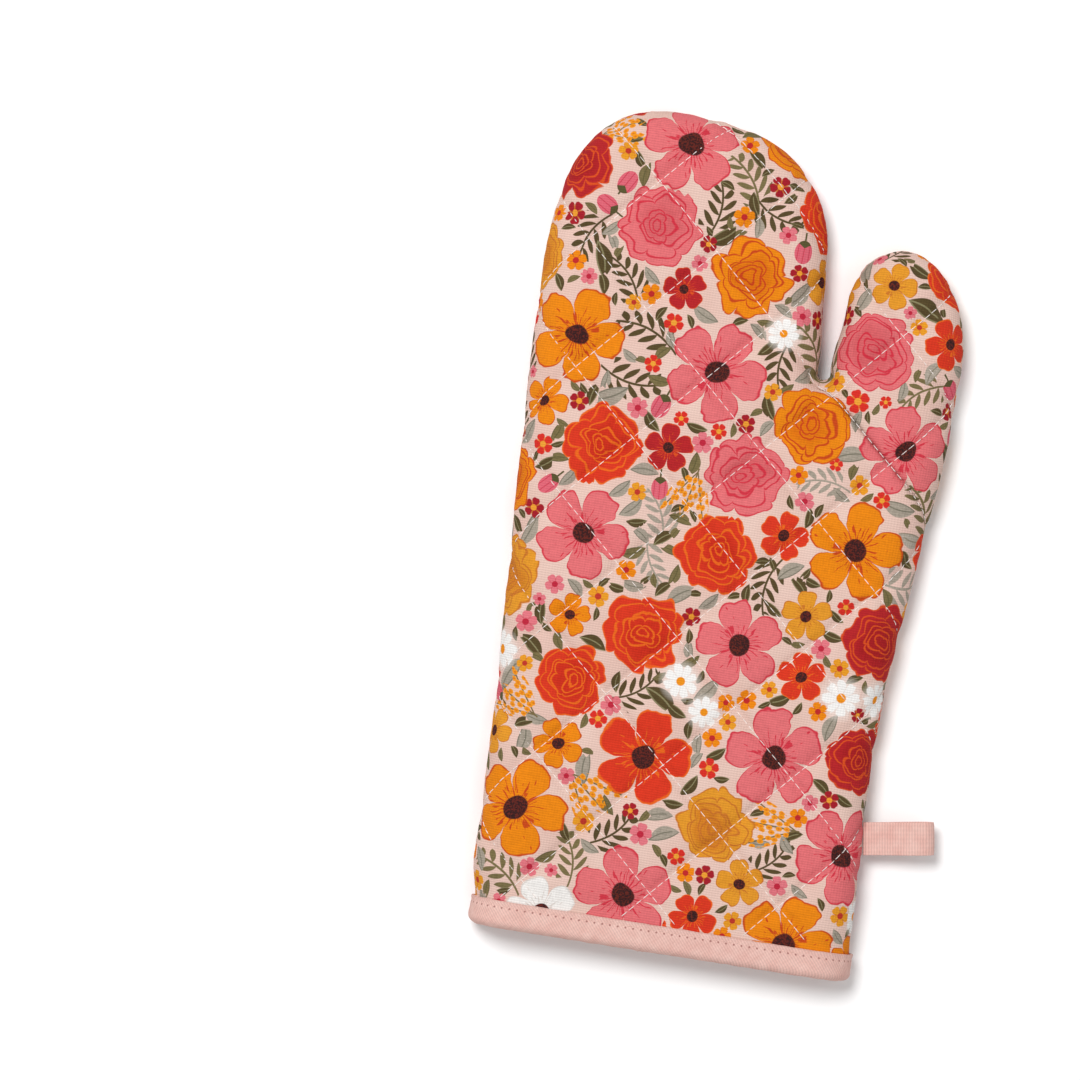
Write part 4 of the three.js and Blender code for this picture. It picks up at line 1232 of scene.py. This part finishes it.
class MITT_OT_loop(bpy.types.Operator):
    """Makes the hanging loop: one ribbed tape, doubled over, with its tail caught in the side seam"""

    bl_idname = "mitt.loop"
    bl_label = "Hanging Loop"

    def execute(self, context):
        ribbed = rose_tape("rose_ribbed_tape", context.scene.mitt.tape_shade,
                           (GROSGRAIN_PITCH, GROSGRAIN_CROSS), 0.0, False)
        loop = self.lay("hanging_loop_tape", self.folded(), LOOP_PLY, ribbed)
        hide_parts(LOOP_NODE)
        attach(loop, "loop")
        for number, height in enumerate((TAIL_GAP, -TAIL_GAP)):
            path = np.stack([np.linspace(TAIL_START, TAIL_END, 12), np.full(12, height)], 1)
            tail = self.lay(f"loop_tail_ply_{number + 1}", path, TAIL_PLY, ribbed)
            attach(tail, "palm")
            if number == 0:
                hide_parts("loop_tail")
        return {"FINISHED"}

    def folded(self):
        """The loop's path as (x, z) points: out from the seam, opening into a round nose, and back."""
        end = LOOP_REACH - LOOP_NOSE
        corners = [(0.2, PLY_GAP), (end / 2, PLY_GAP), (end / 2, LOOP_NOSE), (end, LOOP_NOSE)]
        upper = bezier(*(np.array(corner) for corner in corners), 26)
        turn = np.linspace(math.pi / 2, -math.pi / 2, 18)
        nose = np.stack([end + LOOP_NOSE * np.cos(turn), LOOP_NOSE * np.sin(turn)], 1)
        path = np.concatenate([upper, nose[1:-1], upper[::-1] * [1, -1]])
        return np.vstack([path[0] - LOOP_ROOT, path, path[-1] - LOOP_ROOT * [1, -1]])

    def lay(self, name, path, ply, material):
        """A tape along a path that runs out from the side seam, leaning with the seam."""
        c, s = math.cos(LOOP_TILT), math.sin(LOOP_TILT)
        joint = next(j for j in frame["joints"] if j["name"] == "loop_swing")
        root = np.array(joint["pos_m"]) * 1000 - MOUTH
        points, faces, flat = self.tape(path, ply)
        made = new_mesh(name, root + points @ np.array([[c, s, 0], [-s, c, 0], [0, 0, 1]]), faces)
        set_cloth_map(made, flat)
        give(made, material)
        return made

    def tape(self, path, ply, sides=44):
        """A tape along a path of (x, z): its section is a long superellipse, and shallow ribs run the
        tape's length. Each point is the path plus the section's height along the path's normal."""
        turn = np.arange(sides) / sides * 2 * math.pi
        c, s = np.cos(turn), np.sin(turn)
        y = LOOP_WIDTH / 2 * np.sign(c) * np.abs(c) ** 0.35
        rib = 1 + RIB_DEPTH * np.cos(y * 2 * math.pi / RIB_GAP)
        height = ply / 2 * np.sign(s) * np.abs(s) ** 0.5 * rib
        tangent = np.gradient(path, axis=0)
        tangent /= np.linalg.norm(tangent, axis=1)[:, None]
        x = path[:, :1] - tangent[:, 1:] * height
        z = path[:, 1:] + tangent[:, :1] * height
        points = np.stack([x, np.broadcast_to(y, x.shape), z], -1).reshape(-1, 3)
        k = np.arange(len(points)).reshape(len(path), sides)
        nxt = np.roll(k, -1, 1)
        faces = np.stack([k[:-1], k[1:], nxt[1:], nxt[:-1]], -1).reshape(-1, 4)
        faces = [*faces.tolist(), k[0].tolist(), k[-1][::-1].tolist()]
        flat = np.stack(np.meshgrid(y, along(path)), -1)[..., ::-1]
        return points, faces, flat.reshape(-1, 2)


class MITT_OT_stage(bpy.types.Operator):
    """Sets the pale floor, the soft light and the camera, which looks straight down"""

    bl_idname = "mitt.stage"
    bl_label = "Floor, Light and Camera"

    def execute(self, context):
        scene = context.scene
        scene.view_settings.view_transform = "Standard"
        corners = np.array([[-1, -1], [1, -1], [1, 1], [-1, 1]]) * FLOOR_HALF
        floor = new_mesh("floor", np.column_stack([corners, np.zeros(4)]) - MOUTH, [[0, 1, 2, 3]])
        made, tree, node = new_material("white_paper_floor")
        tone = node("TexNoise", node("TexCoord", out="Object"), None, 1000 / PAPER_TONE, 1.0, 0.5)
        finish_cloth(tree, paint(tree, linear("#fbfbfb"), tone, "#ffffff"), tone, 0.1, 0.1, 0.9)
        floor.data.materials.append(made)
        aim = to_frame(VIEW_MIDDLE)
        camera = bpy.data.cameras.new("camera")
        camera.lens, camera.sensor_width, camera.clip_end = CAMERA_LENS, CAMERA_SENSOR, CAMERA_END
        holder = bpy.data.objects.new("camera", camera)
        scene.collection.objects.link(holder)
        distance = VIEW_WIDTH * CAMERA_LENS / CAMERA_SENSOR
        holder.location = (aim[0], aim[1], VIEW_LEVEL + distance)
        holder.rotation_euler = (0, 0, CAMERA_TURN)
        scene.camera = holder
        self.lamp(aim, *KEY_LIGHT)
        self.lamp(aim, *FILL_LIGHT)
        world = bpy.data.worlds.new("studio")
        scene.world = world
        world.use_nodes = True
        background = world.node_tree.nodes["Background"].inputs
        background["Color"].default_value = (1, 1, 1, 1)
        background["Strength"].default_value = WORLD_LIGHT
        return {"FINISHED"}

    def lamp(self, aim, name, place, size, power):
        """A round soft light, turned to the floor under the aim."""
        light = bpy.data.lights.new(name, "AREA")
        light.shape, light.size, light.energy = "DISK", size, power
        holder = bpy.data.objects.new(name, light)
        bpy.context.scene.collection.objects.link(holder)
        spot = Vector((aim[0] + place[0], aim[1] + place[1], place[2]))
        holder.location = spot
        holder.rotation_euler = (Vector((aim[0], aim[1], 0)) - spot).to_track_quat("-Z", "Y").to_euler()


class MITT_PT_panel(bpy.types.Panel):
    """Lists the mitt's sizes and the steps that build it"""

    bl_label = "Oven Mitt"
    bl_idname = "MITT_PT_panel"
    bl_space_type = "VIEW_3D"
    bl_region_type = "UI"
    bl_category = "Oven Mitt"

    def draw(self, context):
        for name in MittSettings.__annotations__:
            self.layout.prop(context.scene.mitt, name)
        for step in STEPS:
            self.layout.operator(step.bl_idname)


STEPS = (MITT_OT_stage, MITT_OT_shells, MITT_OT_filling, MITT_OT_quilting, MITT_OT_binding, MITT_OT_loop)
CLASSES = (MittSettings, *STEPS, MITT_PT_panel)


def register():
    """Adds the classes, and the mitt's settings to the scene."""
    for item in CLASSES:
        bpy.utils.register_class(item)
    bpy.types.Scene.mitt = bpy.props.PointerProperty(type=MittSettings)


def unregister():
    """Takes them away again."""
    del bpy.types.Scene.mitt
    for item in reversed(CLASSES):
        bpy.utils.unregister_class(item)


def main():
    """Builds the whole scene."""
    register()
    bpy.ops.mitt.stage()
    bpy.ops.mitt.shells()
    bpy.ops.mitt.filling()
    bpy.ops.mitt.quilting()
    bpy.ops.mitt.binding()
    bpy.ops.mitt.loop()


if __name__ == "__main__":
    main()
